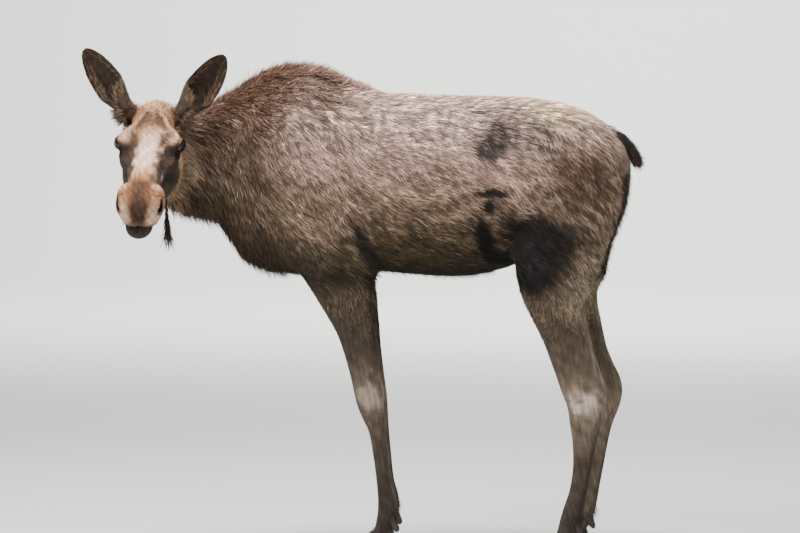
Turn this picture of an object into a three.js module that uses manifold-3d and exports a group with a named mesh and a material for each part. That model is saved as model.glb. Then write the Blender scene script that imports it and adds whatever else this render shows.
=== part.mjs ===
// A young moose without antlers, standing with its head turned to its left and lowered a little.
// Life size, in millimetres. +Z is up, the head end is towards -X and the animal's left side is -Y.
// The flesh is one smooth field of tubes and muscle masses, parted into named nodes by thin flat cuts.
import * as THREE from "three";
import { mergeVertices } from "three/addons/utils/BufferGeometryUtils.js";
import Module from "manifold-3d";

const wasm = await Module();
wasm.setup();

// ---------- driving dimensions ----------
const GAP = 0.3; // clearance between touching nodes
const LEG_PARTING_Z = 931; // the legs leave the trunk at this height
const LEFT = -1; // sign of Y on the animal's left
const RIGHT = 1;

// Head: the point midway between the eyes, and where the head points.
const HEAD_CENTRE = new THREE.Vector3(-774, -345, 1362);
const HEAD_PITCH = 31; // degrees below level
const HEAD_YAW = 2.2; // degrees from -Y towards +X
const HEAD_ROLL = 2.6; // degrees, the left side lower
const EYE_RADIUS = 21;
const EYE_PLACE = [90, -4, 25]; // towards its own side, the nose and the crown
const EAR_LENGTH = 250;
const EAR_WIDTH = 122;

// ---------- field helpers ----------
const vec = (x, y, z) => new THREE.Vector3(x, y, z);
const UP = vec(0, 0, 1);
const FORWARD = vec(-1, 0, 0);
const RAD = Math.PI / 180;

// Smooth union of two distances, blending over k.
function blend(a, b, k) {
  const h = Math.max(k - Math.abs(a - b), 0) / k;
  return Math.min(a, b) - (h * h * k) / 4;
}

// A station of a tube: its centre, and its radii towards `ref`, away from it and sideways.
const station = (x, y, z, fore, aft, side) => ({
  centre: vec(x, y, z),
  radii: vec(fore, aft, side),
});

const SPANS = 4; // straight lengths between two stations
const FAR = 130; // beyond this a form no longer shapes the blend, so a rough distance will do

// Distance to a tube of egg-shaped section along a curve; `ref` sets which way a section's first radius points.
function tube(stations, ref, power = 2) {
  const centres = new THREE.CatmullRomCurve3(stations.map((s) => s.centre), false, "catmullrom", 0.5);
  const radii = new THREE.CatmullRomCurve3(stations.map((s) => s.radii), false, "catmullrom", 0.5);
  const count = SPANS * (stations.length - 1);
  const box = new THREE.Box3();
  const lengths = [];
  for (let i = 0; i < count; i++) {
    const a = centres.getPoint(i / count);
    const b = centres.getPoint((i + 1) / count);
    const along = b.clone().sub(a);
    const t = along.clone().normalize();
    const u = ref.clone().addScaledVector(t, -ref.dot(t)).normalize();
    const ra = radii.getPoint(i / count);
    const rb = radii.getPoint((i + 1) / count);
    const widest = Math.max(ra.x, ra.y, ra.z, rb.x, rb.y, rb.z);
    lengths.push({ a, along, t, u, s: t.clone().cross(u), l2: along.lengthSq(), ra, rb, widest });
    for (const end of [a, b])
      box.union(new THREE.Box3().setFromCenterAndSize(end, vec(2 * widest, 2 * widest, 2 * widest)));
  }
  return (p) => {
    const outside = box.distanceToPoint(p);
    if (outside > FAR) return outside;
    let best = Infinity;
    for (const g of lengths) {
      const dx = p.x - g.a.x;
      const dy = p.y - g.a.y;
      const dz = p.z - g.a.z;
      const w = Math.min(1, Math.max(0, (dx * g.along.x + dy * g.along.y + dz * g.along.z) / g.l2));
      const ox = dx - w * g.along.x;
      const oy = dy - w * g.along.y;
      const oz = dz - w * g.along.z;
      const length = Math.sqrt(ox * ox + oy * oy + oz * oz);
      if (length - g.widest > best) continue;
      const fore = g.ra.x + w * (g.rb.x - g.ra.x);
      const aft = g.ra.y + w * (g.rb.y - g.ra.y);
      const side = g.ra.z + w * (g.rb.z - g.ra.z);
      const ou = ox * g.u.x + oy * g.u.y + oz * g.u.z;
      const os = (ox * g.s.x + oy * g.s.y + oz * g.s.z) / side;
      const ot = (ox * g.t.x + oy * g.t.y + oz * g.t.z) / Math.min(fore, aft, side);
      const shares = [ou / (ou > 0 ? fore : aft), os, ot];
      const q = power === 2 ? Math.hypot(...shares)
        : shares.reduce((sum, share) => sum + Math.abs(share) ** power, 0) ** (1 / power);
      best = Math.min(best, q < 1e-3 ? -Math.min(fore, aft, side) : length * (1 - 1 / q));
    }
    return best;
  };
}

// Distance to an ellipsoid: radii along `dir`, along `ref` and sideways.
function mass(centre, radii, dir, ref) {
  const t = dir.clone().normalize();
  const u = ref.clone().addScaledVector(t, -ref.dot(t)).normalize();
  const s = t.clone().cross(u);
  const o = new THREE.Vector3();
  const widest = Math.max(...radii);
  return (p) => {
    o.subVectors(p, centre);
    if (o.length() - widest > FAR) return o.length() - widest;
    const q = Math.hypot(o.dot(t) / radii[0], o.dot(u) / radii[1], o.dot(s) / radii[2]);
    return q < 1e-3 ? -Math.min(...radii) : o.length() * (1 - 1 / q);
  };
}

// ---------- head frame ----------
const headTurn = new THREE.Matrix4()
  .makeRotationZ(HEAD_YAW * RAD)
  .multiply(new THREE.Matrix4().makeRotationX(HEAD_PITCH * RAD))
  .multiply(new THREE.Matrix4().makeRotationY(HEAD_ROLL * RAD));
// In the head's own frame +X is its left, -Y its nose and +Z its crown.
const headDirection = (left, nose, crown) => vec(left, -nose, crown).transformDirection(headTurn);
const headPoint = (left, nose, crown) => vec(left, -nose, crown).applyMatrix4(headTurn).add(HEAD_CENTRE);
const NOSE = headDirection(0, 1, 0);
const CROWN = headDirection(0, 0, 1);
const HEAD_LEFT = headDirection(1, 0, 0);
// A station of the head: how far towards the nose, its crown, its throat side, its half width, any shift aside.
function headStation(nose, top, bottom, half, left = 0) {
  const middle = bottom + 0.55 * (top - bottom);
  const c = headPoint(left, nose, middle);
  return station(c.x, c.y, c.z, top - middle, middle - bottom, half);
}

// ---------- trunk and neck ----------
// A station of the trunk: its place, back line, belly line and half width.
function trunkStation(x, top, bottom, half) {
  const middle = bottom + 0.5 * (top - bottom);
  return station(x, 0, middle, top - middle, middle - bottom, half);
}

const trunk = tube([
  trunkStation(-420, 1606, 990, 122),
  trunkStation(-320, 1612, 952, 150),
  trunkStation(-200, 1590, 946, 178),
  trunkStation(-80, 1562, 954, 202),
  trunkStation(60, 1554, 944, 224),
  trunkStation(200, 1549, 939, 234),
  trunkStation(310, 1546, 972, 228),
  trunkStation(420, 1540, 1036, 214),
  trunkStation(525, 1513, 1090, 196),
  trunkStation(606, 1456, 1120, 158),
], UP, 2.25);

const neck = tube([
  station(-330, 0, 1300, 285, 322, 138),
  station(-450, 0, 1300, 290, 302, 128),
  station(-560, -12, 1306, 234, 202, 108),
  station(-650, -48, 1300, 186, 163, 96),
  station(-722, -112, 1308, 158, 138, 90),
  station(-764, -190, 1336, 128, 120, 84),
], UP);

// The ridge that carries the crest of long hair, along the nape and over the withers.
const CREST_LINE = [
  [-650, -42, 1462, 14, 40, 22],
  [-560, -10, 1526, 16, 50, 28],
  [-470, 0, 1583, 20, 60, 34],
  [-380, 0, 1610, 20, 60, 38],
  [-290, 0, 1602, 16, 60, 38],
  [-200, 0, 1572, 14, 50, 36],
  [-110, 0, 1545, 12, 40, 32],
];
const crest = tube(CREST_LINE.map((row) => station(...row)), UP);

// ---------- limbs ----------
const limb = (side, rows, shift = 0) =>
  tube(rows.map(([x, y, z, fore, aft, half]) => station(x + shift, side * y, z, fore, aft, half)), FORWARD);

// Rows: x, distance from the middle plane, z, then radii forwards, backwards and sideways.
const UPPER_ARM = [
  [-392, 84, 1170, 84, 84, 50],
  [-300, 104, 1075, 108, 108, 62],
  [-205, 114, 1000, 100, 100, 60],
];
const FORELEG = [
  [-214, 112, 1080, 108, 108, 60],
  [-194, 118, 985, 118, 108, 60],
  [-174, 118, 915, 108, 98, 56],
  [-154, 114, 845, 88, 88, 50],
  [-135, 111, 770, 68, 74, 43],
  [-117, 108, 690, 58, 61, 37],
  [-101, 106, 610, 52, 53, 35],
  [-87, 105, 550, 53, 47, 39],
  [-77, 105, 500, 45, 41, 37],
  [-65, 104, 440, 31, 32, 28],
  [-53, 103, 350, 27, 28, 25],
  [-43, 102, 260, 26, 28, 26],
  [-33, 102, 195, 33, 35, 32],
  [-35, 102, 155, 34, 35, 33],
  [-51, 102, 106, 29, 31, 31],
  [-66, 102, 64, 33, 35, 35],
  [-72, 102, 30, 33, 35, 34],
];
const HINDLEG = [
  [594, 92, 1330, 146, 144, 70],
  [576, 116, 1200, 160, 164, 92],
  [548, 128, 1070, 168, 150, 90],
  [532, 130, 975, 154, 136, 76],
  [528, 128, 905, 130, 108, 64],
  [536, 124, 840, 104, 92, 54],
  [556, 120, 765, 86, 84, 45],
  [580, 116, 690, 80, 76, 38],
  [604, 113, 630, 82, 70, 35],
  [622, 112, 575, 80, 68, 36],
  [624, 111, 525, 68, 66, 36],
  [619, 110, 470, 55, 56, 32],
  [616, 110, 410, 43, 44, 29],
  [610, 109, 330, 35, 35, 27],
  [597, 108, 250, 33, 33, 28],
  [582, 108, 190, 37, 38, 33],
  [570, 108, 150, 37, 37, 34],
  [552, 108, 104, 31, 33, 32],
  [536, 108, 64, 33, 36, 36],
  [530, 108, 30, 33, 36, 35],
];
// The far legs stand a little apart from the near ones, and the far hock is bent more.
const FAR_FORE_SHIFT = -12;
const FAR_HIND_SHIFT = 30;
const FAR_HOCK = { back: 13, z: 575, reach: 55 };

const shoulder = (side) => mass(vec(-268, side * 92, 1300), [300, 142, 74], vec(-0.22, 0, 1), FORWARD);
const haunch = (side) => mass(vec(548, side * 92, 1268), [204, 194, 112], vec(0.12, 0, 1), FORWARD);
const elbow = (side) => mass(vec(-108, side * 118, 1000), [62, 50, 44], UP, FORWARD);

const limbs = [LEFT, RIGHT].map((side) => {
  const foreShift = side === RIGHT ? FAR_FORE_SHIFT : 0;
  const hindShift = side === RIGHT ? FAR_HIND_SHIFT : 0;
  // Only the lower rows of the far hind leg stand further back; the hip stays where it is.
  const hindRows = HINDLEG.map(([x, ...rest]) => {
    const lower = THREE.MathUtils.smoothstep(1150 - rest[1], 0, 350);
    const bent = Math.exp(-(((rest[1] - FAR_HOCK.z) / FAR_HOCK.reach) ** 2));
    return [x + hindShift * (lower + (FAR_HOCK.back / FAR_HIND_SHIFT) * bent), ...rest];
  });
  return {
    shoulder: shoulder(side), haunch: haunch(side), elbow: elbow(side),
    arm: limb(side, UPPER_ARM), foreleg: limb(side, FORELEG, foreShift),
    hindleg: limb(side, hindRows),
  };
});

// ---------- head ----------
const skull = tube([
  headStation(-205, 46, -84, 58),
  headStation(-155, 84, -110, 76),
  headStation(-95, 92, -120, 82),
  headStation(-30, 76, -120, 87),
  headStation(30, 52, -110, 79),
  headStation(90, 38, -100, 62),
  headStation(150, 31, -92, 53),
  headStation(205, 31, -88, 55),
  headStation(255, 32, -84, 62),
  headStation(292, 20, -80, 63),
  headStation(316, -4, -76, 50),
], CROWN, 2.3);
const cheeks = tube([
  headStation(-130, -30, -150, 86),
  headStation(-50, -30, -164, 103),
  headStation(30, -34, -152, 92),
  headStation(100, -40, -134, 77),
  headStation(170, -46, -124, 59),
  headStation(240, -50, -118, 54),
], CROWN, 2.3);
// The lower jaw swings a little to the animal's right, as when it chews.
const lowerJaw = tube([
  headStation(-60, -110, -176, 50),
  headStation(20, -100, -162, 44, -2),
  headStation(110, -90, -142, 36, -5),
  headStation(190, -90, -150, 38, -8),
  headStation(240, -88, -169, 46, -10),
  headStation(264, -92, -163, 42, -10),
], CROWN);
const bothSides = (make) => [1, -1].map(make);
// The upper lip hangs in two rounded lobes.
const lipLobes = bothSides((s) =>
  mass(headPoint(s * 29, 285, -52), [43, 38, 35], headDirection(0, 1, -0.3), CROWN));
const headMasses = [
  ...bothSides((s) => mass(headPoint(s * 70, -8, 34), [46, 36, 38], NOSE, CROWN)), // orbits
  ...bothSides((s) => mass(headPoint(s * 66, 20, -22), [46, 32, 34], NOSE, CROWN)), // pouches under the eyes
  ...bothSides((s) => mass(headPoint(s * 47, 260, -20), [45, 42, 29], NOSE, CROWN)), // nose bulbs
];
const EAR_AXES = { left: vec(0.53, 0.3, 0.77), right: vec(-0.6, 0.12, 0.81) };
const earAxis = (s) => EAR_AXES[s > 0 ? "left" : "right"].clone().normalize();
const EAR_ROOTS = { left: [84, -140, 48], right: [-88, -140, 60] };
const earRoot = (s) => headPoint(...EAR_ROOTS[s > 0 ? "left" : "right"]);
const earRoots = bothSides((s) => mass(earRoot(s), [37, 39, 37], earAxis(s), NOSE));

// ---------- the whole flesh ----------
const headField = (p) => {
  let d = skull(p);
  d = blend(d, cheeks(p), 34);
  d = blend(d, lowerJaw(p), 22);
  for (const m of lipLobes) d = blend(d, m(p), 24);
  for (const m of headMasses) d = blend(d, m(p), 34);
  for (const m of earRoots) d = blend(d, m(p), 26);
  return d;
};
const bodyField = (p) => {
  let d = blend(trunk(p), neck(p), 90);
  d = blend(d, crest(p), 50);
  for (const l of limbs) {
    d = blend(d, l.shoulder(p), 60);
    d = blend(d, l.haunch(p), 60);
    d = blend(d, l.elbow(p), 30);
    const fore = blend(l.foreleg(p), l.arm(p), 50);
    d = blend(d, fore, 45);
    d = blend(d, l.hindleg(p), 45);
  }
  return d;
};
const flesh = (p) => blend(bodyField(p), headField(p), 40);

// ---------- surfaces ----------
const CORNERS = [0, 1].flatMap((c) => [0, 1].flatMap((b) => [0, 1].map((a) => [a, b, c])));
const CELL_EDGES = [];
for (let corner = 0; corner < 8; corner++)
  for (const bit of [1, 2, 4]) if (!(corner & bit)) CELL_EDGES.push([corner, corner | bit]);
const CELL_FACES = [[1, 2, 4], [2, 1, 4], [4, 1, 2]].flatMap(([fixed, a, b]) =>
  [0, fixed].map((side) => [side, side + a, side + a + b, side + b]));

// A closed surface where `worldField` is zero: one point to each cell that it crosses, in a `grid` of `frame`.
function netSurface(worldField, low, high, grid, frame = new THREE.Matrix4()) {
  const placed = new THREE.Vector3();
  const field = (p) => worldField(placed.copy(p).applyMatrix4(frame));
  const n = ["x", "y", "z"].map((k) => Math.ceil((high[k] - low[k]) / grid[k]) + 1);
  const values = new Float64Array(n[0] * n[1] * n[2]);
  const at = (i, j, k) => (k * n[1] + j) * n[0] + i;
  const p = new THREE.Vector3();
  for (let k = 0; k < n[2]; k++)
    for (let j = 0; j < n[1]; j++)
      for (let i = 0; i < n[0]; i++) {
        p.set(low.x + i * grid.x, low.y + j * grid.y, low.z + k * grid.z);
        const rim = i === 0 || j === 0 || k === 0 || i === n[0] - 1 || j === n[1] - 1 || k === n[2] - 1;
        values[at(i, j, k)] = rim ? Math.max(1, field(p)) : field(p);
      }
  // Round each face of a cell, the edges that the surface crosses are paired; linked pairs make one sheet.
  const cells = new Map();
  const points = [];
  const edgeName = (a, b) => Math.min(a, b) * 8 + Math.max(a, b);
  const sheetsOf = (i, j, k) => {
    const key = at(i, j, k);
    if (cells.has(key)) return cells.get(key);
    const v = CORNERS.map(([a, b, c]) => values[at(i + a, j + b, k + c)]);
    const sheetOf = new Map();
    const hits = new Map();
    for (const [a, b] of CELL_EDGES) {
      if (v[a] < 0 === v[b] < 0) continue;
      const w = v[a] / (v[a] - v[b]);
      sheetOf.set(edgeName(a, b), edgeName(a, b));
      hits.set(edgeName(a, b), CORNERS[a].map((from, m) => from + w * (CORNERS[b][m] - from)));
    }
    const link = (e, f) => {
      const [old, kept] = [sheetOf.get(e), sheetOf.get(f)];
      for (const [edge, sheet] of sheetOf) if (sheet === old) sheetOf.set(edge, kept);
    };
    for (const face of CELL_FACES) {
      const crossed = face.map((c, m) => edgeName(c, face[(m + 1) % 4])).filter((e) => sheetOf.has(e));
      if (crossed.length === 2) link(crossed[0], crossed[1]);
      if (crossed.length === 4)
        face.forEach((c, m) => {
          if (v[c] >= 0) link(edgeName(c, face[(m + 1) % 4]), edgeName(c, face[(m + 3) % 4]));
        });
    }
    const pointOfSheet = new Map();
    for (const sheet of new Set(sheetOf.values())) {
      const own = [...hits].filter(([e]) => sheetOf.get(e) === sheet).map(([, hit]) => hit);
      const mean = (m) => own.reduce((sum, hit) => sum + hit[m], 0) / own.length;
      points.push(vec(i + mean(0), j + mean(1), k + mean(2)).multiply(grid).add(low));
      pointOfSheet.set(sheet, points.length - 1);
    }
    const cell = (edge) => pointOfSheet.get(sheetOf.get(edge));
    cells.set(key, cell);
    return cell;
  };
  // The point of the cell at `c` for the sheet that crosses the edge from grid corner `p` to `q`.
  const pointOf = (c, p, q) => {
    const local = (r) => r[0] - c[0] + 2 * (r[1] - c[1]) + 4 * (r[2] - c[2]);
    return sheetsOf(...c)(edgeName(local(p), local(q)));
  };
  const triangles = [];
  const quad = (p, axis) => {
    const q = p.map((v, m) => v + (m === axis ? 1 : 0));
    const inside = values[at(...p)] < 0;
    if (inside === values[at(...q)] < 0) return;
    const [b, c] = [(axis + 1) % 3, (axis + 2) % 3];
    const around = [[1, 1], [0, 1], [0, 0], [1, 0]].map(([db, dc]) =>
      pointOf(p.map((v, m) => v - (m === b ? db : m === c ? dc : 0)), p, q));
    if (!inside) around.reverse();
    const [q0, q1, q2, q3] = around;
    if (points[q0].distanceTo(points[q2]) < points[q1].distanceTo(points[q3])) {
      triangles.push(q0, q1, q2, q0, q2, q3);
    } else {
      triangles.push(q0, q1, q3, q1, q2, q3);
    }
  };
  for (let k = 0; k < n[2] - 1; k++)
    for (let j = 0; j < n[1] - 1; j++)
      for (let i = 0; i < n[0] - 1; i++)
        for (const axis of [0, 1, 2]) quad([i, j, k], axis);
  // Each point is drawn onto the surface along the field's slope, by no more than half a cell.
  const reach = 0.5 * Math.min(grid.x, grid.y, grid.z);
  const h = 0.5;
  for (const q of points) {
    const start = q.clone();
    for (let pass = 0; pass < 3; pass++) {
      const f = field(q);
      const g = vec(field(vec(q.x + h, q.y, q.z)) - f, field(vec(q.x, q.y + h, q.z)) - f,
        field(vec(q.x, q.y, q.z + h)) - f).divideScalar(h);
      q.addScaledVector(g, -f / Math.max(g.lengthSq(), 0.25));
    }
    const move = q.clone().sub(start);
    if (move.length() > reach) q.copy(start).addScaledVector(move, reach / move.length());
  }
  const geometry = new THREE.BufferGeometry().setFromPoints(points);
  geometry.setIndex(triangles);
  return geometry.applyMatrix4(frame);
}

// ---------- solids ----------
function solidOf(geometry) {
  const plain = geometry.clone();
  plain.deleteAttribute("normal");
  plain.deleteAttribute("uv");
  const merged = mergeVertices(plain, 1e-3);
  return new wasm.Manifold(new wasm.Mesh({ numProp: 3, vertProperties: merged.attributes.position.array,
    triVerts: new Uint32Array(merged.index.array) }));
}
const largest = (solid) => solid.decompose().reduce((a, b) => (b.volume() > a.volume() ? b : a));

// A big block on one side of a plane, its face held back from the plane by half the gap.
const BLOCK = 3000;
function halfSpace(point, normal) {
  const block = new THREE.BoxGeometry(BLOCK, BLOCK, BLOCK).translate(0, 0, BLOCK / 2 + GAP / 2);
  const turn = new THREE.Quaternion().setFromUnitVectors(UP, normal.clone().normalize());
  block.applyQuaternion(turn).translate(point.x, point.y, point.z);
  return solidOf(block);
}

// A solid from a closed set of triangles, turned to face outwards.
function closed(points, triangles) {
  const volume = triangles.reduce((sum, _, i) => (i % 3 ? sum
    : sum + points[triangles[i]].dot(points[triangles[i + 1]].clone().cross(points[triangles[i + 2]]))), 0);
  if (volume < 0) triangles.reverse();
  return solidOf(new THREE.BufferGeometry().setFromPoints(points).setIndex(triangles));
}

// A closed skin over rings of equal count, with a middle point at each end.
function loft(rings) {
  const count = rings[0].length;
  const points = rings.flat();
  const triangles = [];
  for (let r = 0; r + 1 < rings.length; r++)
    for (let i = 0; i < count; i++) {
      const a = r * count + i;
      const b = r * count + ((i + 1) % count);
      triangles.push(a, b, a + count, b, b + count, a + count);
    }
  const cap = (ring, first, turned) => {
    const middle = ring.reduce((sum, p) => sum.add(p), vec(0, 0, 0)).divideScalar(count);
    points.push(middle);
    for (let i = 0; i < count; i++) {
      const next = (i + 1) % count;
      triangles.push(points.length - 1, first + (turned ? i : next), first + (turned ? next : i));
    }
  };
  cap(rings[0], 0, false);
  cap(rings.at(-1), (rings.length - 1) * count, true);
  return closed(points, triangles);
}

// A solid along a curve through `path`: radii towards `ref` and sideways are functions of 0..1 along it.
function stem(path, ref, radius, side, { steps = 6, sides = 10, extra = 0 } = {}) {
  const curve = new THREE.CatmullRomCurve3(path, false, "catmullrom", 0.5);
  const rings = [];
  for (let i = 0; i <= steps; i++) {
    const t = i / steps;
    const c = curve.getPoint(t);
    const along = curve.getTangent(t);
    if (i === 0) c.addScaledVector(along, -extra);
    if (i === steps) c.addScaledVector(along, extra);
    const u = ref.clone().addScaledVector(along, -ref.dot(along)).normalize();
    const s = along.clone().cross(u);
    rings.push(Array.from({ length: sides }, (_, k) => {
      const turn = (2 * Math.PI * k) / sides;
      return c.clone().addScaledVector(u, (radius(t) + extra) * Math.cos(turn))
        .addScaledVector(s, (side(t) + extra) * Math.sin(turn));
    }));
  }
  return loft(rings);
}
const ball = (centre, radius, around = 14, rings = 8) =>
  solidOf(new THREE.SphereGeometry(radius, around, rings).translate(centre.x, centre.y, centre.z));

// ---------- flesh nodes ----------
const GRID_TRIES = 8;
const MARGIN = 30; // how far a node's surface runs past a cut before it is trimmed
const neckPlane = { point: vec(-440, 0, 1640), normal: vec(0.99, 0, -0.139).normalize() };
const headPlane = { point: vec(-771, -204, 1532), normal: vec(-0.4, -0.89, -0.2).normalize() };
const legPlane = { point: vec(0, 0, LEG_PARTING_Z), normal: vec(0, 0, 1) };
const kneePlane = { point: vec(0, 0, 548), normal: vec(0, 0, 1) };
const hockPlane = { point: vec(0, 0, 520), normal: vec(0, 0, 1) };
const CORONET_SLOPE = 0.32;
const coronet = (x, z) => ({ point: vec(x, 0, z), normal: vec(CORONET_SLOPE, 0, 1).normalize() });
const flipped = (plane) => ({ point: plane.point, normal: plane.normal.clone().negate() });
const height = (plane, p) => (p.x - plane.point.x) * plane.normal.x + (p.y - plane.point.y) * plane.normal.y
  + (p.z - plane.point.z) * plane.normal.z;

// The part of the flesh, with its locks, on the positive side of every plane.
function fleshNode(planes, low, high, cell, frame, locks = []) {
  const bounded = (p) => planes.reduce((d, plane) => Math.max(d, -height(plane, p) - MARGIN), flesh(p));
  // A grid that happens to pinch the surface is laid again, moved by part of a cell.
  let solid = null;
  for (let shift = 0; !solid && shift < GRID_TRIES; shift++) {
    const from = low.clone().addScaledVector(cell, -0.27 * shift);
    try {
      solid = solidOf(netSurface(bounded, from, high, cell, frame));
    } catch {
      solid = null;
    }
  }
  for (const extra of locks) solid = solid.add(extra);
  for (const plane of planes) solid = solid.intersect(halfSpace(plane.point, plane.normal));
  return largest(solid);
}

// ---------- locks of long hair ----------
const draw = (() => {
  let seed = 20261;
  return () => {
    seed = (seed * 16807) % 2147483647;
    return seed / 2147483647;
  };
})();
const vary = (share) => 1 + share * (2 * draw() - 1);

// A flat tapered lock, sunk at its root: it leaves the skin along `rise`, bends over to `lie`, ends in a point.
const LOCK_RINGS = [[0, 0.4], [0.38, 0.5], [0.72, 0.36]]; // share of the length, half width in whole widths
const LOCK_SINK = 14;
function lock(root, rise, lie, length, width, thick) {
  const at = (t) => root.clone().addScaledVector(rise, length * (t - 0.5 * t * t) - LOCK_SINK)
    .addScaledVector(lie, length * (0.12 * t + 0.6 * t * t));
  const points = [];
  for (const [t, half] of LOCK_RINGS) {
    const along = at(t + 0.05).sub(at(t)).normalize();
    const broad = rise.clone().cross(lie).normalize();
    const flat = along.clone().cross(broad).normalize();
    const middle = at(t);
    for (const [b, f] of [[1, 0], [0, 1], [-1, 0], [0, -1]])
      points.push(middle.clone().addScaledVector(broad, b * half * width).addScaledVector(flat, f * thick / 2));
  }
  points.push(at(1));
  const triangles = [0, 2, 1, 0, 3, 2];
  for (let r = 0; r < LOCK_RINGS.length; r++)
    for (let i = 0; i < 4; i++) {
      const [a, b] = [4 * r + i, 4 * r + ((i + 1) % 4)];
      if (r + 1 < LOCK_RINGS.length) triangles.push(a, b, a + 4, b, b + 4, a + 4);
      else triangles.push(a, b, points.length - 1);
    }
  return closed(points, triangles);
}

// The point of the flesh's surface reached from `from` along `way`.
function surfaceFrom(from, way) {
  const p = from.clone();
  while (flesh(p) < 0) p.addScaledVector(way, 2);
  return p;
}

const BACK = vec(1, 0, 0);
const DOWN = vec(0, 0, -1);
const CREST = { from: 0.03, to: 0.8, spacing: 42, rows: [-42, 0, 42], length: 64, width: 50, thick: 10 };
// Rows of locks along the crest, each row starting half a step after the one beside it.
function crestLocks() {
  const tops = CREST_LINE.map(([x, y, z]) => vec(x, y, z));
  const curve = new THREE.CatmullRomCurve3(tops, false, "catmullrom", 0.5);
  const count = Math.floor((curve.getLength() * (CREST.to - CREST.from)) / CREST.spacing);
  const locks = [];
  CREST.rows.forEach((lean, row) => {
    for (let i = 0; i < count; i++) {
      const t = CREST.from + ((CREST.to - CREST.from) * (i + 0.25 + 0.5 * (row % 2))) / count;
      const back = curve.getTangentAt(t);
      const angle = lean * vary(0.25) * RAD;
      const out = UP.clone().addScaledVector(back, -back.z).normalize();
      const aside = back.clone().cross(out);
      const way = out.multiplyScalar(Math.cos(angle)).addScaledVector(aside, Math.sin(angle)).normalize();
      const ends = Math.min(1, 0.6 + 3 * t, 0.62 + 1.9 * (CREST.to - t));
      const rise = way.clone().addScaledVector(back, 0.45 + 0.8 * (1 - ends)).normalize();
      const sway = 0.25 * (2 * draw() - 1);
      const lie = back.clone().addScaledVector(aside, sway).addScaledVector(way, -0.12).normalize();
      locks.push(lock(surfaceFrom(curve.getPointAt(t), way), rise, lie, CREST.length * ends * vary(0.2),
        CREST.width * vary(0.15), CREST.thick));
    }
  });
  return locks;
}

// One row of hanging locks under the throat and down to the chest, staggered to both sides.
const FRINGE = { from: -735, to: -440, count: 9, length: 50, width: 40, thick: 10 };
function fringeLocks() {
  const locks = [];
  for (let i = 0; i < FRINGE.count; i++) {
    const x = FRINGE.from + (FRINGE.to - FRINGE.from) * (i / (FRINGE.count - 1));
    const y = -150 * THREE.MathUtils.smoothstep(-x, 560, 740) + (i % 2 ? 16 : -16) * vary(0.3);
    const root = surfaceFrom(vec(x, y, 1240), DOWN);
    const rise = vec(0.55, 0, -0.83).normalize();
    const lie = vec(0.9, 0.25 * Math.sign(y || 1), -0.4).normalize();
    locks.push(lock(root, rise, lie, FRINGE.length * vary(0.2), FRINGE.width * vary(0.15), FRINGE.thick));
  }
  return locks;
}

const solids = new Map();
const sideName = (s) => (s > 0 ? "left" : "right"); // the head's own +X is its left
const headFrame = new THREE.Matrix4().setPosition(HEAD_CENTRE).multiply(headTurn);

// ---------- eyes, lids, nostrils and mouth ----------
// A flat almond outline run straight out along `axis`, which opens the lids over an eye.
function almond(centre, axis, along, length, open, depth) {
  const across = axis.clone().cross(along).normalize();
  const span = along.clone().addScaledVector(axis, -along.dot(axis)).normalize();
  const outline = Array.from({ length: 16 }, (_, i) => {
    const turn = (2 * Math.PI * i) / 16;
    const u = Math.cos(turn);
    return [u * length, Math.sign(Math.sin(turn)) * open * (1 - u * u) ** 0.8];
  });
  return loft([-depth, depth].map((out) => outline.map(([u, v]) =>
    centre.clone().addScaledVector(axis, out).addScaledVector(span, u).addScaledVector(across, v))));
}

const EYE_GAZE = [0.78, 0.6, 0.14];
const LID = { thickness: 5.5, length: 23, open: 13.5, depth: 30 };
const NOSTRIL = { aside: 57, nose: 291, crown: -22, length: 23, open: 9, depth: 18 };
let head = fleshNode([headPlane], vec(-200, -400, -400), vec(200, 300, 150), vec(19, 23, 20), headFrame);
for (const s of [1, -1]) {
  const eye = headPoint(s * EYE_PLACE[0], EYE_PLACE[1], EYE_PLACE[2]);
  const gaze = headDirection(s * EYE_GAZE[0], EYE_GAZE[1], EYE_GAZE[2]);
  head = head.add(ball(eye, EYE_RADIUS + LID.thickness));
  head = head.subtract(almond(eye.clone().addScaledVector(gaze, LID.depth), gaze, headDirection(0, 1, -0.35),
    LID.length, LID.open, LID.depth));
  head = head.subtract(ball(eye, EYE_RADIUS + GAP));
  solids.set("eye_" + sideName(s), ball(eye, EYE_RADIUS));
  const nostril = headPoint(s * NOSTRIL.aside, NOSTRIL.nose, NOSTRIL.crown);
  head = head.subtract(almond(nostril, headDirection(s * 0.72, 0.68, 0.1), headDirection(s * 0.3, -0.6, 0.65),
    NOSTRIL.length, NOSTRIL.open, NOSTRIL.depth));
}

// The line of the mouth: a thin wedge pressed in round the muzzle from one corner to the other.
const MOUTH = { corner: 205, reach: 1.5, steps: 14, depth: 11, open: 2.2 };
const mouthLine = (angle) => -88 - 8 * Math.sin(angle) ** 2;
const mouthRings = [];
for (let i = 0; i <= MOUTH.steps; i++) {
  const angle = MOUTH.reach * (2 * (i / MOUTH.steps) - 1);
  const inner = [0, MOUTH.corner, mouthLine(angle)];
  const ray = (r) => headPoint(r * Math.sin(angle), inner[1] + r * Math.cos(angle), inner[2]);
  let r = 20;
  while (headField(ray(r)) < 0 && r < 200) r += 1;
  const lips = (depth, open) => ray(depth).addScaledVector(CROWN, open);
  mouthRings.push([lips(r + 6, MOUTH.open), lips(r - MOUTH.depth, 0.4), lips(r - MOUTH.depth, -0.4),
    lips(r + 6, -MOUTH.open)]);
}
head = head.subtract(loft(mouthRings));

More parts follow.
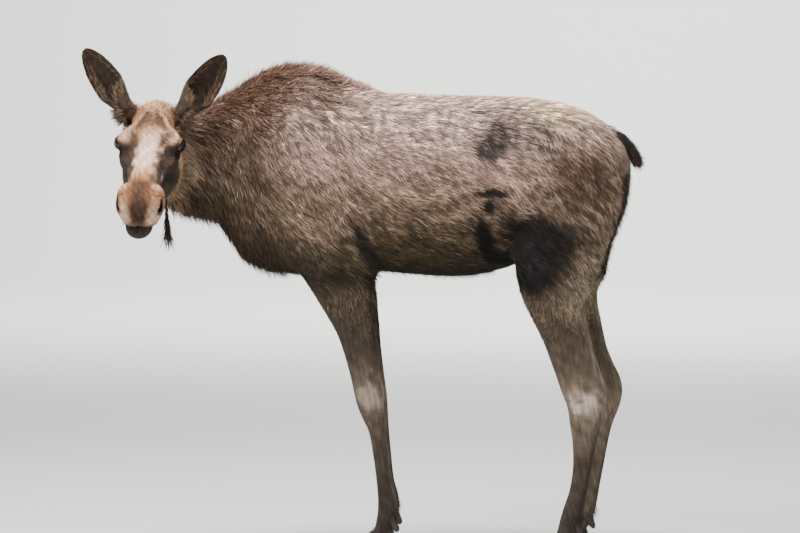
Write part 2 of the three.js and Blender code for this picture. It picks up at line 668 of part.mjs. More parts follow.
// ---------- ears ----------
// An ear is a leaf rolled into a cup: at `t` of its length, its half width, depth and half arc.
const EAR_ROOT_RADIUS = 30;
const earTip = (t) => (1 - Math.max(0, (t - 0.35) / 0.65) ** 2.3) ** 0.62;
const earSpread = (t) => (EAR_WIDTH / 2 - EAR_ROOT_RADIUS) * THREE.MathUtils.smoothstep(t, -0.1, 0.42);
const earWidth = (t) => (EAR_ROOT_RADIUS + earSpread(t)) * earTip(t);
const earCup = (t) => (EAR_ROOT_RADIUS + 8 * Math.sin(Math.PI * t)) * (1 - 0.45 * t) * earTip(t);
const earArc = (t) => (168 - 84 * THREE.MathUtils.smoothstep(t, 0.02, 0.42)) * RAD;
const EAR_STEPS = 9;
const EAR_ACROSS = 8;
const EAR_WALL = 5;
const EAR_BACKWARD_BEND = 12;
const EAR_OUTWARD_BEND = 11;
const EAR_PLUG = [-10, 20, 40]; // where the plug that seats the ear starts, bends and ends along its axis
function earShell(s) {
  const axis = earAxis(s);
  const foot = earRoot(s).addScaledVector(axis, EAR_PLUG[1] + 4);
  const length = EAR_LENGTH - EAR_PLUG[1];
  const facing = headDirection(s * 0.25, 0.93, 0.1);
  facing.addScaledVector(axis, -facing.dot(axis)).normalize();
  const across = axis.clone().cross(facing);
  const outward = across.clone().multiplyScalar(Math.sign(across.dot(HEAD_LEFT)) * s);
  const rings = [];
  for (let i = 0; i <= EAR_STEPS; i++) {
    const t = Math.min(0.985, i / EAR_STEPS);
    const bend = Math.sin(Math.PI * t);
    const middle = foot.clone().addScaledVector(axis, length * t)
      .addScaledVector(facing, -EAR_BACKWARD_BEND * bend).addScaledVector(outward, EAR_OUTWARD_BEND * bend);
    const wall = EAR_WALL * (1 - 0.55 * t);
    const sheet = (thin) => Array.from({ length: EAR_ACROSS + 1 }, (_, j) => {
      const turn = earArc(t) * (2 * (j / EAR_ACROSS) - 1);
      return middle.clone().addScaledVector(across, (earWidth(t) - thin) * Math.sin(turn))
        .addScaledVector(facing, -(earCup(t) - thin) * Math.cos(turn));
    });
    rings.push([...sheet(0), ...sheet(wall).reverse()]);
  }
  return loft(rings);
}
function earPlug(s, extra) {
  const path = EAR_PLUG.map((out) => earRoot(s).addScaledVector(earAxis(s), out));
  return stem(path, NOSE, () => EAR_ROOT_RADIUS + 1, () => EAR_ROOT_RADIUS + 1, { steps: 3, sides: 14, extra });
}
for (const s of [1, -1]) {
  head = head.subtract(earPlug(s, GAP));
  solids.set("ear_" + sideName(s), largest(earPlug(s, 0).add(earShell(s))));
}
solids.set("head", largest(head));

// ---------- trunk, neck, tail and bell ----------
const maneLocks = [...crestLocks(), ...fringeLocks()];
let torso = fleshNode([neckPlane, legPlane], vec(-600, -340, 860), vec(860, 340, 1700), vec(66, 52, 52),
  undefined, maneLocks);
// The tail is a short flat core that ends in a tuft of locks.
const TAIL_PATH = [vec(684, 0, 1428), vec(722, 0, 1398), vec(752, 0, 1364), vec(770, 0, 1338)];
const tailCore = (extra) => stem(TAIL_PATH, vec(1, 0, 0.6), (t) => 15 - 8 * t * t, (t) => 30 - 16 * t * t,
  { steps: 5, sides: 8, extra });
const TAIL_TUFT = {
  aside: [-17, 0, 17, -8, 8], drop: [0, 0.25, 0, 0.6, 0.6], length: 74, width: 30, thick: 11,
};
const clearOfRump = torso.translate([2 * GAP, 0, 2 * GAP]);
torso = largest(torso.subtract(tailCore(GAP)));
let tail = tailCore(0);
TAIL_TUFT.aside.forEach((y, i) => {
  const root = TAIL_PATH[1].clone().lerp(TAIL_PATH[3], TAIL_TUFT.drop[i]).add(vec(6, y, 0));
  const rise = vec(0.62, 0.2 * Math.sign(y), -0.6).normalize();
  const lie = vec(0.2, 0.1 * Math.sign(y), -1).normalize();
  const tuft = lock(root, rise, lie, TAIL_TUFT.length * vary(0.12), TAIL_TUFT.width, TAIL_TUFT.thick);
  tail = tail.add(tuft.subtract(clearOfRump));
});
solids.set("torso", torso);
solids.set("tail", largest(tail));

let neckSolid = fleshNode([flipped(neckPlane), flipped(headPlane)], vec(-960, -420, 940), vec(-380, 260, 1700),
  vec(40, 40, 40), undefined, maneLocks);
// The bell is a thin fold of skin under the throat with long hair down to its tip.
const BELL = { x: -756, y: -172, length: 62, hair: 92 };
let throat = 1000;
while (flesh(vec(BELL.x, BELL.y, throat)) > 0) throat += 1;
const BELL_PATH = [[0, 0, 22], [0, -2, 0], [5, -4, -0.5 * BELL.length], [8, -4, -BELL.length]]
  .map(([x, y, z]) => vec(BELL.x + x, BELL.y + y, throat + z));
const bellCore = (extra) => stem(BELL_PATH, vec(0, 1, 0), (t) => 7 - 3 * t, (t) => 10 - 5 * t,
  { steps: 4, sides: 8, extra });
// Locks of the bell: share of the way down, lean aside, share of the hair's length, width.
const BELL_HAIR = [[0.25, 7, 0.75, 14], [0.5, -6, 0.85, 13], [0.8, 1, 1, 15]];
let bell = bellCore(0);
for (const [down, aside, length, width] of BELL_HAIR) {
  const root = BELL_PATH[1].clone().lerp(BELL_PATH[3], down);
  const rise = vec(0.1 + 0.02 * aside, 0.04 * aside, -1).normalize();
  const lie = vec(0.12, -0.02 * aside, -1).normalize();
  bell = bell.add(lock(root, rise, lie, BELL.hair * length, width, 8));
}
neckSolid = neckSolid.subtract(bellCore(GAP)).subtract(earPlug(1, GAP));
solids.set("neck", largest(neckSolid));
solids.set("head", largest(solids.get("head").subtract(bellCore(GAP))));
solids.set("bell", largest(bell));

// ---------- legs, claws and dewclaws ----------
const CLAW = { length: 108, width: 42, toe: 68, top: 62, sides: 14 };
// Half of a hoof: a pointed, flat-soled claw whose inner side faces the cleft.
function claw(x, y, inward) {
  const rings = [0, 0.3, 1].map((h) => {
    const z = CLAW.top * 1.25 * h;
    const lean = -0.42 * z; // the front wall slopes back as it rises
    const shrink = 1 - 0.1 * h;
    return Array.from({ length: CLAW.sides }, (_, i) => {
      const turn = (2 * Math.PI * i) / CLAW.sides;
      const ahead = Math.cos(turn);
      const aside = Math.sin(turn);
      const taper = ahead > 0 ? (1 - ahead ** 2.2) ** 0.62 : (1 - ahead ** 4) ** 0.5;
      const along = ahead > 0 ? CLAW.toe * ahead + lean * ahead : (CLAW.length - CLAW.toe) * ahead;
      const out = (CLAW.width / 2) * shrink * Math.sign(aside) * taper * (aside * inward > 0 ? 0.72 : 1.12);
      return vec(x - along, y + out, z);
    });
  });
  return loft(rings);
}

for (const side of [LEFT, RIGHT]) {
  const name = side === LEFT ? "left" : "right";
  const y = [side * 110 - 130, side * 110 + 130];
  const feet = [
    { limb: "foreleg", x: -72, y: 102, shift: side === RIGHT ? FAR_FORE_SHIFT : 0, joint: kneePlane,
      dew: [2, 102, 132], box: [-420, 60, -200, 40] },
    { limb: "hindleg", x: 531, y: 108, shift: side === RIGHT ? FAR_HIND_SHIFT : 0, joint: hockPlane,
      dew: [606, 108, 126], box: [340, 800, 420, 780] },
  ];
  for (const foot of feet) {
    const x = foot.x + foot.shift;
    const top = coronet(x, CLAW.top - 6);
    const [upperFrom, upperTo, lowerFrom, lowerTo] = foot.box.map((v) => v + foot.shift);
    solids.set(foot.limb + "_upper_" + name, fleshNode([flipped(legPlane), foot.joint],
      vec(upperFrom, y[0], 440), vec(upperTo, y[1], 1000), vec(32, 29, 56)));
    let lower = fleshNode([flipped(foot.joint), top], vec(lowerFrom, y[0], 0), vec(lowerTo, y[1], 620),
      vec(20, 19, 48));
    for (const inward of [1, -1]) {
      const clawY = side * foot.y - inward * (CLAW.width / 2 - 1);
      const whole = claw(x, clawY, inward).intersect(halfSpace(top.point, flipped(top).normal));
      const cleft = { point: vec(0, side * foot.y - inward * 1.5, 0), normal: vec(0, -inward, 0) };
      solids.set(`${foot.limb}_claw_${inward * side > 0 ? "inner" : "outer"}_${name}`,
        largest(whole.intersect(halfSpace(cleft.point, cleft.normal))));
      const dewFrom = vec(foot.dew[0] + foot.shift - 22, side * foot.y - inward * 14, foot.dew[2] + 22);
      const dewTip = vec(foot.dew[0] + foot.shift + 3, side * foot.y - inward * 19, foot.dew[2] - 24);
      const dewclaw = (extra) => stem([dewFrom, dewTip], UP, (t) => 12 - 5 * t, (t) => 10 - 4 * t,
        { steps: 2, sides: 8, extra });
      lower = lower.subtract(dewclaw(GAP));
      solids.set(`${foot.limb}_dewclaw_${inward * side > 0 ? "inner" : "outer"}_${name}`, dewclaw(0));
    }
    solids.set(foot.limb + "_lower_" + name, largest(lower));
  }
}

// ---------- the model ----------
const FINISH = {
  coat: { color: 0x6b5a4c, roughness: 0.9 },
  face: { color: 0x8a6f5c, roughness: 0.85 },
  horn: { color: 0x2b2622, roughness: 0.55 },
  eye: { color: 0x120d0a, roughness: 0.1 },
  dark: { color: 0x2a221d, roughness: 0.9 },
};
const finishOf = (name) => {
  if (name.startsWith("eye")) return FINISH.eye;
  if (name.includes("claw")) return FINISH.horn;
  if (name.startsWith("ear") || name === "tail" || name === "bell") return FINISH.dark;
  return name === "head" ? FINISH.face : FINISH.coat;
};
const group = new THREE.Group();
const whole = new THREE.Box3();
for (const solid of solids.values()) {
  const { min, max } = solid.boundingBox();
  whole.union(new THREE.Box3(vec(...min), vec(...max)));
}
// The origin is on the floor below the middle of the whole model.
const origin = whole.getCenter(vec(0, 0, 0)).setZ(whole.min.z);
for (const [name, solid] of solids) {
  const made = solid.getMesh();
  const geometry = new THREE.BufferGeometry();
  geometry.setAttribute("position", new THREE.BufferAttribute(made.vertProperties, 3));
  geometry.setIndex(new THREE.BufferAttribute(made.triVerts, 1));
  const mesh = new THREE.Mesh(geometry, new THREE.MeshStandardMaterial({ ...finishOf(name), metalness: 0 }));
  mesh.name = name;
  group.add(mesh);
}
group.position.copy(origin).negate();

export default group;
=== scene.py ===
"""A young moose without antlers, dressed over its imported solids: one skin, a coat of mesh tufts, eyes,
hooves, lashes and whiskers. Metres. +X is towards the tail, -Y the animal's left and +Z up, as in the
frame."""

import math

import bpy
import numpy as np
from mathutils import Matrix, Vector


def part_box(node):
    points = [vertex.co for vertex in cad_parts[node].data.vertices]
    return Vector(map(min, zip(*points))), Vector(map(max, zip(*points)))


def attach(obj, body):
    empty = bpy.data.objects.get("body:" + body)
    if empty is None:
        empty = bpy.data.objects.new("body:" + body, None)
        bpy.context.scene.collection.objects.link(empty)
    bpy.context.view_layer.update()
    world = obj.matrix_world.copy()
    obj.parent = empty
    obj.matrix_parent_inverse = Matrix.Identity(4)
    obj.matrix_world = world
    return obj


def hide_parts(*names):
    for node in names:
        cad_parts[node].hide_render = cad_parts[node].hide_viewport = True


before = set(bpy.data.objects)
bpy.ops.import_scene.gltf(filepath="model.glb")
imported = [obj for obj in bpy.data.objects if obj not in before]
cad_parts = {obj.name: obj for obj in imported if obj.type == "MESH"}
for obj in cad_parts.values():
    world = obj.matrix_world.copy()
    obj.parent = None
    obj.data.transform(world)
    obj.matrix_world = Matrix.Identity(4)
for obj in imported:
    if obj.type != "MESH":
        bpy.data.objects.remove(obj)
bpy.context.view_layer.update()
rng = np.random.default_rng(71)

# ---------- the animal's own measure ----------
MM = 0.001
HEAD_PLACE = np.array([-774.0, -345.0, 1362.0]) * MM  # midway between the eyes, before the model is centred
HEAD_PITCH, HEAD_YAW, HEAD_ROLL = np.radians([31.0, 2.2, 2.6])
EYE_PLACE = np.array([90.0, -4.0, 25.0]) * MM  # towards its own side, the nose and the crown
EYE_RADIUS = 21 * MM
UP = np.array([0.0, 0.0, 1.0])
FORWARD = np.array([-1.0, 0.0, 0.0])


def turn(axis, angle):
    """Rotation matrix about one axis, counter-clockwise seen from its tip."""
    c, s = math.cos(angle), math.sin(angle)
    i, j = [(1, 2), (2, 0), (0, 1)][axis]
    m = np.eye(3)
    m[i, i] = m[j, j] = c
    m[i, j], m[j, i] = -s, s
    return m


HEAD_TURN = turn(2, HEAD_YAW) @ turn(0, HEAD_PITCH) @ turn(1, HEAD_ROLL)


def head_way(left, nose, crown):
    """A unit direction given towards the head's left, its nose and its crown."""
    way = HEAD_TURN @ np.array([left, -nose, crown], float)
    return way / np.linalg.norm(way)


NOSE, CROWN, HEAD_LEFT = head_way(0, 1, 0), head_way(0, 0, 1), head_way(1, 0, 0)
eye_low, eye_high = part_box("eye_left")
CENTRING = HEAD_PLACE + HEAD_TURN @ (EYE_PLACE * [1, -1, 1]) - (np.array(eye_low) + np.array(eye_high)) / 2
HEAD_CENTRE = HEAD_PLACE - CENTRING


def place(x, y, z):
    """A point given in millimetres from the withers' floor point, in the frame."""
    return np.array([x, y, z], float) * MM - CENTRING


def head_point(left, nose, crown):
    """A point of the head in millimetres towards its left, its nose and its crown."""
    return HEAD_CENTRE + HEAD_TURN @ (np.array([left, -nose, crown], float) * MM)


def in_head(points):
    """Points as millimetres towards the head's left, nose and crown: the inverse of head_point."""
    local = (points - HEAD_CENTRE) @ HEAD_TURN / MM
    return local[:, 0], -local[:, 1], local[:, 2]


def rising(x, low, high):
    """0 below low, 1 above high, and 3 t^2 - 2 t^3 between."""
    t = np.clip((np.asarray(x, float) - low) / (high - low), 0, 1)
    return t * t * (3 - 2 * t)


def falling(x, low, high):
    """1 below low and 0 above high: rising turned round."""
    return rising(-np.asarray(x, float), -high, -low)


def band(x, start, full, end, gone):
    """Rising from start to full, then falling from end to gone."""
    return rising(x, start, full) * falling(x, end, gone)


def within(x, low, high):
    return (x > low) & (x < high)


def tone(r, g, b):
    """A colour given in the usual 0 to 255 steps, as the light that it sends back."""
    c = np.array([r, g, b]) / 255
    return np.where(c < 0.04045, c / 12.92, ((c + 0.055) / 1.055) ** 2.4)


def unit(v):
    return v / np.maximum(np.linalg.norm(v, axis=-1, keepdims=True), 1e-12)


def dot(a, b):
    return np.einsum("...i,...i->...", a, b)


# ---------- the flesh as a field of distances ----------
REACH = 95 * MM  # a form further off than this doesn't shape the blend


def blend(a, b, k):
    """Smooth union of two distances: the smaller one less h^2 k / 4, where h = max(k - |a - b|, 0) / k."""
    h = np.maximum(k - np.abs(a - b), 0) / k
    return np.minimum(a, b) - h * h * k / 4


def through_rows(rows, steps=4):
    """Catmull-Rom curve through rows: at w between p1 and p2 it is half of 2 p1 + (p2 - p0) w
    + (2 p0 - 5 p1 + 4 p2 - p3) w^2 + (3 p1 - p0 - 3 p2 + p3) w^3."""
    rows = np.asarray(rows, float)
    r = np.vstack([2 * rows[0] - rows[1], rows, 2 * rows[-1] - rows[-2]])
    w = (np.arange(steps) / steps)[None, :, None]
    p0, p1, p2, p3 = (r[i : len(r) - 3 + i][:, None, :] for i in range(4))
    at = (0.5 * (2 * p1 + (p2 - p0) * w + (2 * p0 - 5 * p1 + 4 * p2 - p3) * w**2
                 + (3 * p1 - p0 - 3 * p2 + p3) * w**3))
    return np.vstack([at.reshape(-1, rows.shape[1]), rows[-1:]])


class Tube:
    """An egg-shaped section carried along a curve: rows of x, y, z, then radii towards ref, away from it
    and aside. From the nearest point of the axis the distance is |o| (1 - 1/q), q being o measured in
    radii."""

    def __init__(self, rows, ref, power=2.0):
        s = through_rows(rows)
        self.power = power
        self.a, along = s[:-1, :3], s[1:, :3] - s[:-1, :3]
        self.along, self.l2 = along, dot(along, along)
        self.t = unit(along)
        self.u = unit(ref - (self.t @ ref)[:, None] * self.t)
        self.s = np.cross(self.t, self.u)
        self.ra, self.rb = s[:-1, 3:], s[1:, 3:]
        self.widest = np.maximum(self.ra, self.rb).max(1)
        self.low = np.minimum(self.a, s[1:, :3]) - self.widest[:, None] - REACH
        self.high = np.maximum(self.a, s[1:, :3]) + self.widest[:, None] + REACH

    def near(self, p):
        """For each length of the tube, which points are close enough to matter."""
        rough = np.flatnonzero(((p > self.low.min(0)) & (p < self.high.max(0))).all(1))
        q = p[rough]
        return [rough[((q > self.low[i]) & (q < self.high[i])).all(1)] for i in range(len(self.t))]

    def distance(self, p, near):
        best = np.full(len(p), REACH)
        for i, m in enumerate(near):
            if not len(m):
                continue
            d = p[m] - self.a[i]
            w = np.clip(d @ self.along[i] / self.l2[i], 0, 1)
            o = d - w[:, None] * self.along[i]
            length = np.sqrt(dot(o, o))
            fore, aft, side = ((1 - w) * self.ra[i][k] + w * self.rb[i][k] for k in range(3))
            ou = o @ self.u[i]
            ou = np.abs(ou / np.where(ou > 0, fore, aft))
            os = np.abs(o @ self.s[i] / side)
            least = np.minimum(np.minimum(fore, aft), side)
            ot = np.abs(o @ self.t[i] / least)
            if self.power == 2:
                q = np.sqrt(ou * ou + os * os + ot * ot)
            else:
                q = (ou**self.power + os**self.power + ot**self.power) ** (1 / self.power)
            value = np.where(q < 1e-3, -least, length * (1 - 1 / np.maximum(q, 1e-3)))
            best[m] = np.minimum(best[m], value)
        return best


class Mass:
    """An ellipsoid of muscle: radii along way, along ref and aside, in metres."""

    def __init__(self, centre, radii, way, ref):
        t = unit(np.asarray(way, float))
        u = unit(ref - (t @ ref) * t)
        self.centre, self.radii = centre, np.asarray(radii, float) * MM
        self.axes = np.stack([t, u, np.cross(t, u)])

    def near(self, p):
        return np.flatnonzero((np.abs(p - self.centre) < self.radii.max() + REACH).all(1))

    def distance(self, p, near):
        out = np.full(len(p), REACH)
        o = p[near] - self.centre
        length = np.sqrt(dot(o, o))
        q = np.sqrt((((o @ self.axes.T) / self.radii) ** 2).sum(1))
        out[near] = np.where(q < 1e-3, -self.radii.min(), length * (1 - 1 / np.maximum(q, 1e-3)))
        return out


def trunk_row(x, top, bottom, half):
    middle = 0.5 * (top + bottom)
    return [*place(x, 0, middle), (top - middle) * MM, (middle - bottom) * MM, half * MM]


def body_row(x, y, z, fore, aft, side):
    return [*place(x, y, z), fore * MM, aft * MM, side * MM]


def head_row(nose, top, bottom, half, left=0):
    middle = bottom + 0.55 * (top - bottom)
    return [*head_point(left, nose, middle), (top - middle) * MM, (middle - bottom) * MM, half * MM]


trunk = Tube([trunk_row(*r) for r in [
    (-420, 1606, 990, 122), (-320, 1612, 952, 150), (-200, 1590, 946, 178), (-80, 1562, 954, 202),
    (60, 1554, 944, 224), (200, 1549, 939, 234), (310, 1546, 972, 228), (420, 1540, 1036, 214),
    (525, 1513, 1090, 196), (606, 1456, 1120, 158)]], UP, 2.25)
neck = Tube([body_row(*r) for r in [
    (-330, 0, 1300, 285, 322, 138), (-450, 0, 1300, 290, 302, 128), (-560, -12, 1306, 234, 202, 108),
    (-650, -48, 1300, 186, 163, 96), (-722, -112, 1308, 158, 138, 90), (-764, -190, 1336, 128, 120, 84)]], UP)
CREST_ROWS = [(-650, -42, 1462, 14, 40, 22), (-560, -10, 1526, 16, 50, 28), (-470, 0, 1583, 20, 60, 34),
              (-380, 0, 1610, 20, 60, 38), (-290, 0, 1602, 16, 60, 38), (-200, 0, 1572, 14, 50, 36),
              (-110, 0, 1545, 12, 40, 32)]
crest = Tube([body_row(*r) for r in CREST_ROWS], UP)
TAIL_ROWS = [(684, 0, 1428, 15, 15, 30), (722, 0, 1398, 14, 14, 28), (752, 0, 1364, 11, 11, 23),
             (768, 0, 1341, 8, 8, 15)]
tail = Tube([body_row(*r) for r in TAIL_ROWS], unit(np.array([1.0, 0, 0.6])))

UPPER_ARM = [(-392, 84, 1170, 84, 84, 50), (-300, 104, 1075, 108, 108, 62), (-205, 114, 1000, 100, 100, 60)]
FORELEG = [
    (-214, 112, 1080, 108, 108, 60), (-194, 118, 985, 118, 108, 60), (-174, 118, 915, 108, 98, 56),
    (-154, 114, 845, 88, 88, 50), (-135, 111, 770, 68, 74, 43), (-117, 108, 690, 58, 61, 37),
    (-101, 106, 610, 52, 53, 35), (-87, 105, 550, 53, 47, 39), (-77, 105, 500, 45, 41, 37),
    (-65, 104, 440, 31, 32, 28), (-53, 103, 350, 27, 28, 25), (-43, 102, 260, 26, 28, 26),
    (-33, 102, 195, 33, 35, 32), (-35, 102, 155, 34, 35, 33), (-51, 102, 106, 29, 31, 31),
    (-66, 102, 64, 33, 35, 35), (-72, 102, 30, 33, 35, 34)]
HINDLEG = [
    (594, 92, 1330, 146, 144, 70), (576, 116, 1200, 160, 164, 92), (548, 128, 1070, 168, 150, 90),
    (532, 130, 975, 154, 136, 76), (528, 128, 905, 130, 108, 64), (536, 124, 840, 104, 92, 54),
    (556, 120, 765, 86, 84, 45), (580, 116, 690, 80, 76, 38), (604, 113, 630, 82, 70, 35),
    (622, 112, 575, 80, 68, 36), (624, 111, 525, 68, 66, 36), (619, 110, 470, 55, 56, 32),
    (616, 110, 410, 43, 44, 29), (610, 109, 330, 35, 35, 27), (597, 108, 250, 33, 33, 28),
    (582, 108, 190, 37, 38, 33), (570, 108, 150, 37, 37, 34), (552, 108, 104, 31, 33, 32),
    (536, 108, 64, 33, 36, 36), (530, 108, 30, 33, 36, 35)]
FAR_FORE, FAR_HIND, FAR_HOCK = -12.0, 30.0, 13.0  # how much further back the far feet and the far hock stand
SIDES = {"left": -1, "right": 1}


def limb_rows(rows, side, shift=lambda z: 0.0):
    return [body_row(x + shift(z), side * y, z, *r) for x, y, z, *r in rows]


class Limbs:
    """One side's shoulder, arm, elbow, haunch and both legs."""

    def __init__(self, side):
        far = side > 0
        fore = FAR_FORE if far else 0.0

        def hind(z):
            back = FAR_HIND * float(rising(1150 - z, 0, 350)) + FAR_HOCK * math.exp(-(((z - 575) / 55) ** 2))
            return back if far else 0.0

        self.shoulder = Mass(place(-268, side * 92, 1300), [300, 142, 74], (-0.22, 0, 1), FORWARD)
        self.haunch = Mass(place(548, side * 92, 1268), [204, 194, 112], (0.12, 0, 1), FORWARD)
        self.elbow = Mass(place(-108, side * 118, 1000), [62, 50, 44], UP, FORWARD)
        self.arm = Tube(limb_rows(UPPER_ARM, side), FORWARD)
        self.foreleg = Tube(limb_rows(FORELEG, side, lambda z: fore), FORWARD)
        self.hindleg = Tube(limb_rows(HINDLEG, side, hind), FORWARD)


limbs = [Limbs(side) for side in SIDES.values()]
skull = Tube([head_row(*r) for r in [
    (-205, 46, -84, 58), (-155, 84, -110, 76), (-95, 92, -120, 82), (-30, 76, -120, 87), (30, 52, -110, 79),
    (90, 38, -100, 62), (150, 31, -92, 53), (205, 31, -88, 55), (255, 32, -84, 62), (292, 20, -80, 63),
    (316, -4, -76, 50)]], CROWN, 2.3)
cheeks = Tube([head_row(*r) for r in [
    (-130, -30, -150, 86), (-50, -30, -164, 103), (30, -34, -152, 92), (100, -40, -134, 77),
    (170, -46, -124, 59), (240, -50, -118, 54)]], CROWN, 2.3)
lower_jaw = Tube([head_row(*r) for r in [
    (-60, -110, -176, 50), (20, -100, -162, 44, -2), (110, -90, -142, 36, -5), (190, -90, -150, 38, -8),
    (240, -88, -169, 46, -10), (264, -92, -163, 42, -10)]], CROWN)
lip_lobes = [Mass(head_point(s * 29, 285, -52), [43, 38, 35], head_way(0, 1, -0.3), CROWN) for s in (1, -1)]
EAR_AXIS = {1: unit(np.array([0.53, 0.3, 0.77])), -1: unit(np.array([-0.6, 0.12, 0.81]))}
EAR_FEET = {1: (84, -140, 48), -1: (-88, -140, 60)}
head_masses = [Mass(head_point(s * 70, -8, 34), [46, 36, 38], NOSE, CROWN) for s in (1, -1)]
head_masses += [Mass(head_point(s * 66, 20, -22), [46, 32, 34], NOSE, CROWN) for s in (1, -1)]
head_masses += [Mass(head_point(s * 47, 260, -20), [45, 42, 29], NOSE, CROWN) for s in (1, -1)]
ear_roots = [Mass(head_point(*EAR_FEET[s]), [37, 39, 37], EAR_AXIS[s], NOSE) for s in (1, -1)]


class Flesh:
    """The whole flesh near a set of points: call it with those points, or with the same ones moved a
    little."""

    def __init__(self, points):
        forms = [trunk, neck, crest, skull, cheeks, lower_jaw, *lip_lobes, *head_masses, *ear_roots]
        forms += [f for l in limbs for f in vars(l).values()]
        self.near = {id(f): f.near(points) for f in forms}

    def __call__(self, p):
        def d(form):
            return form.distance(p, self.near[id(form)])

        body = blend(blend(d(trunk), d(neck), 90 * MM), d(crest), 50 * MM)
        for l in limbs:
            body = blend(body, d(l.shoulder), 60 * MM)
            body = blend(body, d(l.haunch), 60 * MM)
            body = blend(body, d(l.elbow), 30 * MM)
            body = blend(body, blend(d(l.foreleg), d(l.arm), 50 * MM), 45 * MM)
            body = blend(body, d(l.hindleg), 45 * MM)
        head = blend(blend(d(skull), d(cheeks), 34 * MM), d(lower_jaw), 22 * MM)
        for form in lip_lobes:
            head = blend(head, d(form), 24 * MM)
        for form in head_masses:
            head = blend(head, d(form), 34 * MM)
        for form in ear_roots:
            head = blend(head, d(form), 26 * MM)
        return blend(body, head, 40 * MM)


# ---------- where the coat is deep and where it is short ----------
HEAD_CUT = place(-771, -204, 1532), unit(np.array([-0.4, -0.89, -0.2]))  # a plane behind the ears
LID_RADIUS = 25.2 * MM
HOOF_TOP = 56.0  # height of the hoof's upper rim at its middle, in mm
HOOF_SLOPE = 0.32
FEET = {"foreleg": (-72.0, 102.0, FAR_FORE, (2.0, 132.0)),
        "hindleg": (531.0, 108.0, FAR_HIND, (606.0, 126.0))}
KNEE_Z, ELBOW_Z = 548.0, 931.0


def measures(p):
    """Millimetre coordinates of points: x, y and z before centring, and how far they are onto the head (1
    to 0)."""
    x, y, z = ((p + CENTRING) / MM).T
    onto = rising((p - HEAD_CUT[0]) @ HEAD_CUT[1] / MM, -25, 60)
    return x, y, z, onto


LEG_COAT, BODY_COAT = 4, 11  # how far the skin lies below the tips of the coat, in mm
POLL_COAT, CHEEK_COAT, MUZZLE_COAT = 9, 5, 2


def coat_depth(p):
    """How far the skin lies below the tips of the coat, by height on the body and along the nose on the
    head."""
    _, _, z, onto = measures(p)
    _, nose, _ = in_head(p)
    body = LEG_COAT + (BODY_COAT - LEG_COAT) * rising(z, KNEE_Z, ELBOW_Z + 60)
    face = POLL_COAT - (POLL_COAT - CHEEK_COAT) * rising(nose, -80, 40)
    face = face - (CHEEK_COAT - MUZZLE_COAT) * rising(nose, 110, 210)
    return (body + (face - body) * onto) * MM


def hoof_plane(p):
    """Height above the sloping plane at the top of the nearest hoof, in metres."""
    x, y, z, _ = measures(p)
    hind = x > 250
    middle = np.where(hind, FEET["hindleg"][0], FEET["foreleg"][0])
    middle = middle + np.where(y > 0, np.where(hind, FAR_HIND, FAR_FORE), 0)
    return ((x - middle) * HOOF_SLOPE + z - HOOF_TOP) * MM / math.hypot(1, HOOF_SLOPE)


class Skin:
    """The skin near a set of points: the flesh less the coat's depth, with the tail, the lids' swell over
    each eyeball, and an end just inside the top of each hoof."""

    def __init__(self, points):
        self.flesh = Flesh(points)
        self.tail = tail.near(points)

    def __call__(self, p):
        d = self.flesh(p) + coat_depth(p)
        d = blend(d, tail.distance(p, self.tail) + 2 * MM, 16 * MM)
        for s in (1, -1):
            eye = np.linalg.norm(p - eye_centre(s), axis=1)
            d = blend(d, eye - LID_RADIUS, 7 * MM)
        return -blend(-d, hoof_plane(p) + 3 * MM, 5 * MM)


def eye_centre(s):
    return head_point(s * EYE_PLACE[0] / MM, EYE_PLACE[1] / MM, EYE_PLACE[2] / MM)


def settle(points, passes=3, limit=8 * MM):
    """Move points down the skin field's slope until they lie on it: each step is f / |g|^2 times g."""
    skin = Skin(points)
    p = points.copy()
    h = 0.6 * MM
    for _ in range(passes):
        f = skin(p)
        g = np.stack([skin(p + h * np.eye(3)[k]) - f for k in range(3)], 1) / h
        step = -(f / np.maximum(dot(g, g), 0.2))[:, None] * g
        size = np.linalg.norm(step, axis=1, keepdims=True)
        p += step * np.minimum(1, limit / np.maximum(size, 1e-9))
    return p


